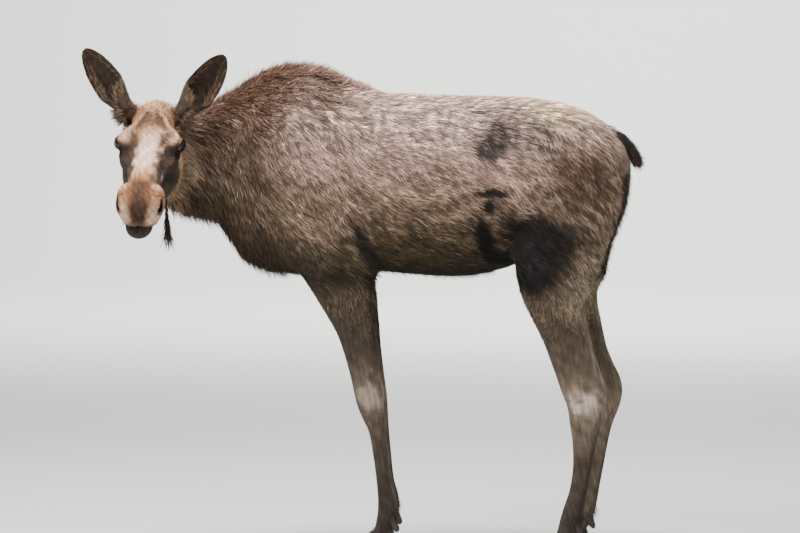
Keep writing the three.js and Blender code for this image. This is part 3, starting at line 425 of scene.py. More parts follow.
# ---------- meshes worked out on arrays ----------
def net(low, high, cell, block=5):
    """Points and triangles where the skin field is zero: one point to a grid cell that it crosses, at the
    mean of the crossings of the cell's edges, and one quad to each grid edge that it crosses. Only blocks
    near it count."""
    n = (np.ceil((high - low) / (cell * block)).astype(int)) * block
    coarse = np.stack(np.meshgrid(*[np.arange(k // block) for k in n], indexing="ij"), -1)
    middles = low + (coarse + 0.5 - 0.5 / block) * cell * block
    rough = Skin(middles.reshape(-1, 3))(middles.reshape(-1, 3)).reshape(coarse.shape[:3])
    values = rough.repeat(block, 0).repeat(block, 1).repeat(block, 2)
    close = (np.abs(rough) < 1.15 * cell * block).repeat(block, 0).repeat(block, 1).repeat(block, 2)
    index = np.argwhere(close)
    points = low + index * cell
    values[close] = np.concatenate([Skin(part)(part) for part in np.array_split(points, 12)])
    inside = values < 0
    corners = [(a, b, c) for a in (0, 1) for b in (0, 1) for c in (0, 1)]
    m = np.array(values.shape) - 1

    def at(array, offset):
        return array[tuple(slice(o, o + k) for o, k in zip(offset, m))]

    count = sum(at(inside, c).astype(int) for c in corners)
    cells = np.argwhere(within(count, 0, 8))
    total, hits = np.zeros((len(cells), 3)), np.zeros(len(cells))
    for axis in range(3):
        for b in (0, 1):
            for c in (0, 1):
                start = np.zeros(3, int)
                start[(axis + 1) % 3], start[(axis + 2) % 3] = b, c
                v0 = values[tuple((cells + start).T)]
                v1 = values[tuple((cells + start + np.eye(3, dtype=int)[axis]).T)]
                crossed = (v0 < 0) != (v1 < 0)
                w = np.where(crossed, v0 / np.where(crossed, v0 - v1, 1), 0)
                spot = start + w[:, None] * np.eye(3)[axis]
                total += np.where(crossed[:, None], spot, 0)
                hits += crossed
    points = low + (cells + total / hits[:, None]) * cell
    number = np.full(tuple(m), -1)
    number[tuple(cells.T)] = np.arange(len(cells))
    quads = []
    for axis in range(3):
        ahead = np.eye(3, dtype=int)[axis]
        first = at(inside, (0, 0, 0))
        second = at(inside, tuple(ahead))
        b, c = np.eye(3, dtype=int)[(axis + 1) % 3], np.eye(3, dtype=int)[(axis + 2) % 3]
        edges = np.argwhere(first != second)
        edges = edges[(edges[:, (axis + 1) % 3] > 0) & (edges[:, (axis + 2) % 3] > 0)]
        around = np.stack([number[tuple((edges - s).T)] for s in (b + c, c, 0 * b, b)], 1)
        turned = ~first[tuple(edges.T)]
        around[turned] = around[turned][:, ::-1]
        quads.append(around)
    q = np.concatenate(quads)
    short = (np.linalg.norm(points[q[:, 0]] - points[q[:, 2]], axis=1)
             < np.linalg.norm(points[q[:, 1]] - points[q[:, 3]], axis=1))
    one = np.where(short[:, None], q[:, [0, 1, 2]], q[:, [0, 1, 3]])
    two = np.where(short[:, None], q[:, [0, 2, 3]], q[:, [1, 2, 3]])
    return points, np.concatenate([one, two])


def edges_of(tris, count):
    """Each edge once, as a pair of point numbers, and the numbers of each triangle's three edges."""
    pairs = np.sort(tris[:, [0, 1, 1, 2, 2, 0]].reshape(-1, 2), axis=1)
    keys, inverse = np.unique(pairs[:, 0] * count + pairs[:, 1], return_inverse=True)
    return np.stack([keys // count, keys % count], 1), inverse.reshape(-1, 3)


def refine(points, tris, marked):
    """Every marked triangle becomes four at the middles of its edges, and one that meets it along a single
    edge two."""
    edges, own = edges_of(tris, len(points))
    marked = marked.copy()
    while True:
        split = np.zeros(len(edges), bool)
        split[own[marked].ravel()] = True
        more = (split[own].sum(1) >= 2) & ~marked
        if not more.any():
            break
        marked |= more
    fresh = np.full(len(edges), -1)
    fresh[split] = len(points) + np.arange(split.sum())
    points = np.vstack([points, points[edges[split]].mean(1)])
    mid = fresh[own]
    a, b, c = tris[marked].T
    ab, bc, ca = mid[marked].T
    whole = [np.stack(t, 1) for t in [(a, ab, ca), (ab, b, bc), (ca, bc, c), (ab, bc, ca)]]
    halves = []
    for k in range(3):
        side = ~marked & (mid[:, k] >= 0)
        a, b, c = tris[side][:, [k, (k + 1) % 3, (k + 2) % 3]].T
        halves += [np.stack([a, mid[side, k], c], 1), np.stack([mid[side, k], b, c], 1)]
    same = tris[~marked & (mid < 0).all(1)]
    return points, np.concatenate([same, *whole, *halves])


def normals_of(points, tris):
    """Point normals: the sum of the cross products of the triangles' sides round each point."""
    face = np.cross(points[tris[:, 1]] - points[tris[:, 0]], points[tris[:, 2]] - points[tris[:, 0]])
    total = np.stack([np.bincount(tris.ravel(), np.repeat(face[:, k], 3), len(points)) for k in range(3)], 1)
    return unit(total)


def relax(points, tris, share=0.5, only=None):
    """Draw each point along the surface towards the mean of its neighbours."""
    edges, _ = edges_of(tris, len(points))
    both = np.concatenate([edges, edges[:, ::-1]])
    degree = np.maximum(np.bincount(both[:, 0], minlength=len(points)), 1)
    mean = np.stack([np.bincount(both[:, 0], points[both[:, 1], k], len(points)) for k in range(3)], 1)
    move = mean / degree[:, None] - points
    n = normals_of(points, tris)
    move -= dot(move, n)[:, None] * n
    if only is not None:
        move[~only] = 0
    return points + share * move


def waves(p, length, seed, count=7):
    """Smooth noise of about -1 to 1: the mean of a few sine waves of the given length, in random
    directions."""
    r = np.random.default_rng(seed)
    way = unit(r.normal(size=(count, 3))) * (2 * math.pi / length) * r.uniform(0.6, 1.5, (count, 1))
    return np.sin(p @ way.T + r.uniform(0, 6.283, count)).sum(1) / math.sqrt(count) * 0.8


# ---------- the head's own small forms ----------
EYE_GAZE = (0.76, 0.64, 0.12)  # where an eye looks: aside, to the nose and to the crown
LID_LONG, LID_OPEN = 24.0, 14.0  # half length and half height of the opening between the lids, in mm
MOUTH_CORNER = 205.0  # the mouth runs round this place on the head's length
NOSTRIL_PLACE = (55.0, 289.0, -20.0)


def lid_frame(s):
    """Directions of one eye: out along the gaze, along the opening towards its inner corner, and up."""
    gaze = head_way(s * EYE_GAZE[0], EYE_GAZE[1], EYE_GAZE[2])
    along = head_way(0, 1, -0.35)
    along = unit(along - (along @ gaze) * gaze)
    up = np.cross(along, gaze) * s
    return gaze, along, up


def lid_measures(p, s):
    """For points near an eye, in mm: out along the gaze, along and up the opening, and the distance outside
    it. The opening's half height at u of its half length is (1 - u^2)^0.8, the upper lid a little
    fuller."""
    gaze, along, up = lid_frame(s)
    q = (p - eye_centre(s)) / MM
    out, u, v = q @ gaze, q @ along, q @ up
    share = np.clip(np.abs(u) / LID_LONG, 0, 1)
    half = LID_OPEN * (1 - share**2) ** 0.8 * np.where(v > 0, 1.06, 0.94)
    edge = np.where(np.abs(u) < LID_LONG, (np.abs(v) - half) / np.sqrt(1 + (1.3 * share) ** 2),
                    np.hypot(np.abs(u) - LID_LONG, v))
    return out, u, v, edge


def nostril_measures(p, s):
    """For points near a nostril, in mm: in front of it, and the distance outside a comma whose round end
    lies low towards the lip and whose tail curls up and back; the comma is a thick line that thins from 10
    to 3 mm."""
    left, nose, crown = NOSTRIL_PLACE
    q = (p - head_point(s * left, nose, crown)) / MM
    out = head_way(s * 0.72, 0.68, 0.1)
    along = head_way(s * 0.3, -0.6, 0.65)
    along = unit(along - (along @ out) * out)
    across = np.cross(out, along) * s
    d, u, v = q @ out, q @ along, q @ across
    t = np.clip((u + 11) / 31, 0, 1)
    gap = np.hypot(u - (31 * t - 11), v - 9 * t * t + 1) - (10 - 7 * t)
    return d, gap


def mouth_line(angle):
    """Height of the mouth's slit on the crown axis at an angle round the muzzle: lower at the sides than in
    front."""
    return -88 - 8 * np.sin(angle) ** 2


def mouth_measures(p):
    """Angle round the muzzle from its front and the height above the mouth's slit, in mm."""
    left, nose, crown = in_head(p)
    angle = np.arctan2(left, nose - MOUTH_CORNER)
    return angle, crown - mouth_line(angle)


def bell_curve(x, width):
    return np.exp(-((x / width) ** 2))


def head_relief(p, n):
    """How far each point of the skin moves to give the head its folds, lids, nostrils and lips."""
    left, nose, crown = in_head(p)
    aside = np.abs(left)
    on_head = rising((p - HEAD_CUT[0]) @ HEAD_CUT[1] / MM, 0, 40)
    above_eyes = rising(crown, 24, 44)
    # Bony forms: ridges that run from the brows up to two small knobs, a hollow between, and the cheek's
    # crest.
    ridge = 0.87 * (aside - 80 - 0.56 * (nose + 10))
    rise = 4.5 * bell_curve(ridge, 9) * band(nose, -112, -70, 0, 30) * above_eyes
    rise -= 3.0 * bell_curve(ridge + 22, 12) * band(nose, -90, -50, 5, 40) * above_eyes
    rise += 5.0 * bell_curve(np.hypot(aside - 31, nose + 100), 11) * above_eyes
    on_crest = bell_curve(crown + 6 + 0.22 * (nose - 60), 9) * (aside > 25)
    rise += 4.5 * on_crest * band(nose, 25, 60, 130, 190)
    hollow = bell_curve(crown + 34 + 0.15 * nose, 15) * (aside > 30)
    rise -= 3.5 * hollow * band(nose, 30, 70, 150, 200)
    # Wrinkles of loose skin beside the ridges, across the forehead and above the nostrils.
    loose = band(nose, -120, -95, -40, -10) * above_eyes
    rise += 2.4 * loose * rising(aside, 20, 38) * np.sin(ridge / 3.4 + 1.5 * np.sin(nose / 13))
    rise += 1.5 * loose * (1 - rising(aside, 18, 36)) * np.sin(nose / 4.2 + 1.6 * np.sin(left / 9))
    rise += 0.8 * np.sin((nose + 0.6 * aside) / 3.1) * bell_curve(nose - 232, 20) * rising(crown, -20, 8)
    # The bulb over each nostril, the furrow between them, and the crease that runs round under the bulb.
    bulb = np.hypot(np.hypot(aside - 50, nose - 256), crown - 12)
    rise += (5.5 * bell_curve(bulb, 21) - 2.5 * bell_curve(left, 17) * bell_curve(nose - 262, 30)
             * (crown > -20))
    crease = bell_curve(bulb - 31, 3.6) * rising(nose - crown, 262, 286)
    rise -= 5.0 * crease * rising(aside, 14, 34)
    # The mouth: a slit between rounded lips, the upper hanging over the lower.
    angle, above = mouth_measures(p)
    round_muzzle = falling(np.abs(angle), 1.3, 1.6) * rising(nose, 196, 216) * (crown < -50)
    rise += round_muzzle * (-8.0 * bell_curve(above, 2.2) + 3.5 * bell_curve(above - 9, 8))
    rise -= 6.0 * round_muzzle * falling(above, -5, 0) * (1 - falling(above, -34, -10))
    # The lips' fine upright creases and the groove down the middle of the upper lip.
    rise += 0.5 * round_muzzle * np.sin(60 * angle) * bell_curve(above - 6, 8)
    rise -= 2.6 * bell_curve(left, 4.0) * rising(nose, 290, 306) * rising(above, 2, 10) * (crown < -30)
    move = (rise * on_head)[:, None] * n
    for s in (1, -1):
        out, u, v, edge = lid_measures(p, s)
        here = (out > 2) & (np.hypot(u, v) < 62)
        fold = 1.4 * bell_curve(edge - 2.2, 1.5)  # the lids' rolled edges
        # crease above the upper lid
        fold -= 2.4 * bell_curve(edge - 7.0 - 1.5 * (u / LID_LONG) ** 2, 1.7) * (v > 0)
        fold += 2.0 * bell_curve(edge - 12, 4.2) * (v > 0)
        fold -= 1.9 * bell_curve(edge - 6.5, 1.8) * (v <= 0)  # fold below the lower lid
        fold += 2.2 * bell_curve(edge - 11.0, 3.4) * (v <= 0)
        fold -= 2.0 * bell_curve(edge - 18.5, 2.6) * (v <= 0)
        fold += 2.4 * bell_curve(edge - 25.0, 3.6) * (v <= 0)  # rim of the pouch under the eye
        # The tear groove, from the inner corner down towards the nose, with a rounded pouch beside it.
        groove = np.abs(v + 0.34 * (u - LID_LONG))
        fold -= 3.0 * bell_curve(groove, 2.8) * band(u, LID_LONG - 3, LID_LONG + 4, 36, 48)
        fold += 2.4 * bell_curve(np.hypot((u - 33) / 1.5, v + 13), 6.5)
        sunk = 9.5 * (1 - rising(edge, -0.9, 0.7))
        move += (here * fold)[:, None] * n
        move -= (here * sunk)[:, None] * lid_frame(s)[0]
        d, gap = nostril_measures(p, s)
        here = np.abs(d) < 32
        way = head_way(s * 0.72, 0.68, 0.1)
        move -= (here * 17 * (1 - rising(gap, -3.4, 1.2)))[:, None] * way
        move += (here * 3.0 * bell_curve(gap - 3.8, 3.6))[:, None] * n
    return move * MM


SKIN_LOW, SKIN_HIGH, SKIN_CELL = (-1010, -700, 30), (830, 300, 1720), 13.5 * MM  # the net's box and its step


def build_skin():
    """The skin net, made finer on the legs, the tail and the head and finest round eyes, nostrils and
    mouth, each new point settled on the skin field before the head's small forms are pressed in."""
    points, tris = net(place(*SKIN_LOW), place(*SKIN_HIGH), SKIN_CELL)
    points = settle(points)
    for _ in range(2):
        points = settle(relax(points, tris), 1)

    def finer(points, tris, wanted, rounds=1):
        middles = points[tris].mean(1)
        before = len(points)
        points, tris = refine(points, tris, wanted(middles))
        points[before:] = settle(points[before:], 2)
        touched = np.zeros(len(points), bool)
        touched[tris[wanted(points[tris].mean(1))].ravel()] = True
        for _ in range(rounds):
            points = relax(points, tris, 0.4, touched)
            points[touched] = settle(points[touched], 1)
        return points, tris

    def fine(p):
        x, y, z, onto = measures(p)
        on_legs, by_tail = z < 930, (x > 660) & (np.abs(y) < 60) & (z > 1300)
        return on_legs | (onto > 0.02) | by_tail

    def face(p):
        left, nose, crown = in_head(p)
        near_eye = np.hypot(np.hypot(np.abs(left) - 80, nose - 8), crown - 12) < 62
        return ((nose > 180) | near_eye) & (measures(p)[3] > 0.5)

    def openings(p, lid, nostril, slit, round_muzzle):
        """Where a lid's edge, a nostril's rim or the mouth's slit is nearer than the given mm."""
        angle, above = mouth_measures(p)
        found = (np.abs(above) < slit) & (np.abs(angle) < round_muzzle) & (in_head(p)[1] > 190)
        for s in (1, -1):
            out, _, _, edge = lid_measures(p, s)
            ahead, gap = nostril_measures(p, s)
            found |= ((np.abs(edge) < lid) & (out > 3)) | ((np.abs(gap + 1) < nostril) & (np.abs(ahead) < 30))
        return found

    def rims(p):
        return openings(p, 19, 12, 12, 1.7)

    def edges(p):
        return openings(p, 3.5, 4, 3.5, 1.6)

    for wanted, rounds in ((fine, 1), (face, 1), (rims, 1), (edges, 0)):
        points, tris = finer(points, tris, wanted, rounds)
    points += head_relief(points, normals_of(points, tris))
    return points, tris


def make_object(name, points, tris, materials, smooth=True, **layers):
    """A mesh object at the origin from whole arrays; layers are point attributes, three columns for a
    colour."""
    mesh = bpy.data.meshes.new(name)
    mesh.vertices.add(len(points))
    mesh.vertices.foreach_set("co", np.asarray(points, np.float32).ravel())
    count = len(tris)
    mesh.loops.add(3 * count)
    mesh.loops.foreach_set("vertex_index", np.asarray(tris, np.int32).ravel())
    mesh.polygons.add(count)
    mesh.polygons.foreach_set("loop_start", np.arange(0, 3 * count, 3, dtype=np.int32))
    mesh.polygons.foreach_set("use_smooth", np.full(count, smooth))
    uv = layers.pop("OFBake", None)
    slots = layers.pop("slots", None)
    if slots is not None:
        mesh.polygons.foreach_set("material_index", slots.astype(np.int32))
    for layer, values in layers.items():
        data = mesh.attributes.new(layer, "FLOAT_COLOR", "POINT")
        data.data.foreach_set("color",
                              np.hstack([values, np.ones((len(values), 1))]).astype(np.float32).ravel())
    if uv is not None:
        mesh.uv_layers.new(name="OFBake")
        mesh.uv_layers["OFBake"].data.foreach_set("uv", uv[tris.ravel()].astype(np.float32).ravel())
    mesh.update(calc_edges=True)
    mesh.validate()
    for material in materials:
        mesh.materials.append(material)
    obj = bpy.data.objects.new(name, mesh)
    bpy.context.scene.collection.objects.link(obj)
    return obj


def loft(rings):
    """A closed surface over a stack of closed rings, each end shut by a fan round its mean, turned to face
    out."""
    count, around = rings.shape[:2]
    i, j = np.meshgrid(np.arange(count - 1), np.arange(around), indexing="ij")
    a, b = i * around + j, i * around + (j + 1) % around
    walls = np.concatenate([np.stack([a, b, a + around], -1).reshape(-1, 3),
                            np.stack([b, b + around, a + around], -1).reshape(-1, 3)])
    points = np.vstack([rings.reshape(-1, 3), rings[0].mean(0), rings[-1].mean(0)])
    j = np.arange(around)
    last = (count - 1) * around
    ends = [np.stack([np.full(around, count * around), (j + 1) % around, j], 1),
            np.stack([np.full(around, count * around + 1), last + j, last + (j + 1) % around], 1)]
    tris = np.concatenate([walls, *ends])
    volume = dot(points[tris[:, 0]], np.cross(points[tris[:, 1]], points[tris[:, 2]])).sum()
    return points, tris if volume > 0 else tris[:, ::-1]


# ---------- ears, eyes, hooves, dewclaws and bell ----------
EAR_LENGTH, EAR_HALF, EAR_ROOT = 230.0, 61.0, 30.0


def ear_frame(s):
    """The ear's foot, and its directions: along it, out of its cup, and across."""
    axis = EAR_AXIS[s]
    foot = head_point(*EAR_FEET[s]) + 24 * MM * axis
    facing = head_way(s * 0.25, 0.93, 0.1)
    facing = unit(facing - (facing @ axis) * axis)
    return foot, axis, facing, np.cross(axis, facing)


def ear_point(s, t, turn, inset):
    """A point of the ear's wall: at t of its length, a cup of half width w(t) and depth c(t) is followed
    through the angle turn; both widen from the root and close in a blunt tip, and the whole ear bows back
    and outward."""
    foot, axis, facing, across = ear_frame(s)
    outward = across * np.sign(across @ HEAD_LEFT) * s
    tip = (1 - np.maximum(0, (t - 0.35) / 0.65) ** 2.3).clip(0) ** 0.62
    width = (EAR_ROOT + (EAR_HALF - EAR_ROOT) * rising(t, -0.1, 0.42)) * tip - inset
    cup = (EAR_ROOT + 8 * np.sin(math.pi * t.clip(0))) * (1 - 0.45 * t) * tip - inset
    bow = np.sin(math.pi * t.clip(0))[..., None]
    middle = foot + (EAR_LENGTH * MM * t)[..., None] * axis - 12 * MM * bow * facing + 11 * MM * bow * outward
    return (middle + (width * np.sin(turn) * MM)[..., None] * across - (cup * np.cos(turn) * MM)[..., None]
            * facing)


def ear_arc(t):
    """Half the angle that the ear's wall goes round: nearly closed at the root, open in a leaf above."""
    return np.radians(168 - 84 * rising(t, 0.02, 0.42))


def ear_shell(s, rows=44, across=30):
    """The ear as a thin double wall that runs round its free edge, rooted in the skin."""
    t = np.concatenate([[-0.14], np.linspace(-0.06, 0.985, rows - 1)])
    wall = 3.6 * (1 - 0.6 * t.clip(0))
    j = np.linspace(-1, 1, across + 1)
    tt, jj = np.meshgrid(t, j, indexing="ij")
    ripple = 0.8 * np.sin(9 * jj + 5 * tt) * rising(tt, 0.1, 0.4)
    outer = ear_point(s, tt, ear_arc(tt) * jj, 1.2 + 0 * tt)
    edge = 1 - 0.5 * np.abs(jj) ** 6
    inner = ear_point(s, tt, ear_arc(tt) * jj * 0.995, 1.2 + wall[:, None] * edge + ripple.clip(0))
    return loft(np.concatenate([outer, inner[:, ::-1]], 1))


def eyeball(s, rings=40, around=56):
    """A ball with a raised cornea over the iris; its pole looks along the gaze. Also the eye's colours: a
    wide dark brown iris with faint spokes, a lying oval pupil, and a dim white behind."""
    gaze, along, up = lid_frame(s)
    theta = math.pi * np.concatenate([np.linspace(0.002, 0.3, rings - 12), np.linspace(0.33, 0.998, 12)])
    phi = np.linspace(0, 2 * math.pi, around, endpoint=False)
    tt, pp = np.meshgrid(theta, phi, indexing="ij")
    iris = 0.70  # the iris reaches this angle from the pole
    radius = EYE_RADIUS + 1.5 * MM * (1 - (tt / iris).clip(0, 1) ** 2) ** 2
    ring = np.cos(pp)[..., None] * along + np.sin(pp)[..., None] * up
    way = np.cos(tt)[..., None] * gaze + np.sin(tt)[..., None] * ring
    points, tris = loft(eye_centre(s) + radius[..., None] * way)
    q = (points - eye_centre(s)) / EYE_RADIUS
    u, v, r = q @ along, q @ up, np.arccos(np.clip(unit(q) @ gaze, -1, 1))
    spokes = 1 + 0.25 * np.sin(23 * np.arctan2(v, u)) * rising(r, 0.25, 0.5)
    brown = np.outer(spokes * (0.75 + 0.5 * rising(-r, -iris, -0.3)), tone(44, 27, 16))
    white = np.outer(1 - 0.55 * rising(r, iris, 1.2), tone(84, 66, 54))
    colour = brown + (white - brown) * rising(r, iris - 0.05, iris + 0.03)[:, None]
    pupil = 1 - rising(np.hypot(u / 0.40, v / 0.17), 0.85, 1.05)
    colour = colour * (1 - 0.95 * pupil[:, None])
    return points, tris, colour


def claw(limb, side, inward, rings=14, around=60):
    """Half a hoof: a pointed claw with a flat sole, its front wall sloping back as it rises to the top's
    slanting rim, which rounds in to the leg, a heel that bulges at half its height, and faint growth rings.
    At angle a its outline is cos a ahead, and aside a width that narrows towards the toe."""
    x, y, shift, _ = FEET[limb]
    x += shift if side > 0 else 0
    middle = side * y - inward * 20
    angles = np.linspace(0, 2 * math.pi, around, endpoint=False)
    share = np.concatenate([[0.0, 0.0], np.linspace(0.04, 0.9, rings - 6), [0.98, 1.05, 1.1, 1.11]])
    inset = np.concatenate([[0.55, 0.96], np.ones(rings - 6), [0.98, 0.89, 0.74, 0.5]])
    h, a = np.meshgrid(share, angles, indexing="ij")
    ahead, aside = np.cos(a), np.sin(a)
    taper = np.where(ahead > 0, (1 - ahead.clip(0) ** 2.2) ** 0.62, (1 - ahead**4).clip(0) ** 0.5)
    side_share = np.where(aside * inward > 0, 0.72, 1.12)
    out = 21 * (1 - 0.1 * h) * np.sign(aside) * np.abs(taper) * side_share
    along = np.where(ahead > 0, 68 * ahead, (34 + 6 * np.sin(math.pi * (0.9 * h).clip(0, 1))) * ahead)
    top = HOOF_TOP + 1 + HOOF_SLOPE * along * 0.8
    z = h * top
    along = along + np.where(ahead > 0, -0.42 * z * ahead, 0)
    ripple = 1 + 0.006 * np.sin(h * 34 + 1.5 * ahead) * (h > 0.1)
    cleft = side * y - inward * 2.0
    px = x - along * inset[:, None] * ripple
    py = middle + out * inset[:, None] * ripple
    py = np.where(inward > 0, np.minimum(py, cleft), np.maximum(py, cleft))
    return loft(np.stack([px, py, z], -1) * MM - CENTRING)


def dewclaw(limb, side, inward):
    """A small blunt horn behind the fetlock: a short cone, rounded at its tip."""
    _, y, shift, (dew_x, dew_z) = FEET[limb]
    shift = shift if side > 0 else 0
    start = np.array([dew_x + shift - 22, side * y - inward * 14, dew_z + 22])
    tip = np.array([dew_x + shift + 3, side * y - inward * 19, dew_z - 24])
    t, a = np.meshgrid(np.array([0, 0.2, 0.4, 0.6, 0.8, 0.93, 1.0]),
                       np.linspace(0, 2 * math.pi, 20, endpoint=False), indexing="ij")
    axis = unit(tip - start)
    u = unit(np.array([0, 0, 1.0]) - axis[2] * axis)
    v = np.cross(axis, u)
    round_end = np.sqrt((1 - (t.clip(0.7, 1) - 0.7) ** 2 / 0.3**2).clip(0.02))
    centre = start + t[..., None] * (tip - start)
    ring = ((12 - 5 * t)[..., None] * np.cos(a)[..., None] * u + (10 - 4 * t)[..., None]
            * np.sin(a)[..., None] * v)
    return loft((centre + ring * round_end[..., None]) * MM - CENTRING)


BELL_TOP = place(-756, -172, 0)
BELL_TOP[2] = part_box("bell")[1][2]
BELL_LENGTH = 90 * MM


def bell_point(t):
    """The bell's middle line: straight down from the throat with a slight bow backwards."""
    t = np.asarray(t, float)
    return BELL_TOP + np.stack([0.008 * np.sin(1.4 * t), -0.004 * t, -BELL_LENGTH * t], -1)


def bell_core():
    """The fold of skin that carries the bell's hair: a thin tapered stem, 20 by 14 mm at the throat."""
    t, a = np.meshgrid(np.linspace(0, 1, 12), np.linspace(0, 2 * math.pi, 16, endpoint=False), indexing="ij")
    fold = np.stack([(6.5 - 4.5 * t) * np.sin(a), (9.5 - 6.5 * t) * np.cos(a), 0 * t], -1) * MM
    return loft(bell_point(t) + fold)


# ---------- markings and painted light ---
def ramp(x, stops):
    """A colour read off a list of (place, colour) stops, in between by straight lines."""
    at = [stop for stop, _ in stops]
    return np.stack([np.interp(x, at, [tone(*c)[k] for _, c in stops]) for k in range(3)], 1)


def spot(x, y, cx, cy, rx, ry, tilt=0.0, soft=0.35):
    """1 inside a tilted ellipse and 0 outside, over a soft rim."""
    c, s = math.cos(math.radians(tilt)), math.sin(math.radians(tilt))
    u, v = (x - cx) * c + (y - cy) * s, (y - cy) * c - (x - cx) * s
    return 1 - rising(np.hypot(u / rx, v / ry), 1 - soft, 1 + soft)


def mixed(base, share, colour):
    return base + (np.asarray(colour) - base) * share[:, None]


class Paint:
    """Colours laid over one another: each new one takes its share of the way from what is there."""

    def __init__(self, colour):
        self.colour = colour

    def lay(self, share, colour):
        """Lay on a colour, either three 0 to 255 steps or an array, where its share is above 0."""
        self.colour = mixed(self.colour, share, tone(*colour) if isinstance(colour, tuple) else colour)


def plain(count, *steps):
    """One colour for a number of points."""
    return np.tile(tone(*steps), (count, 1))


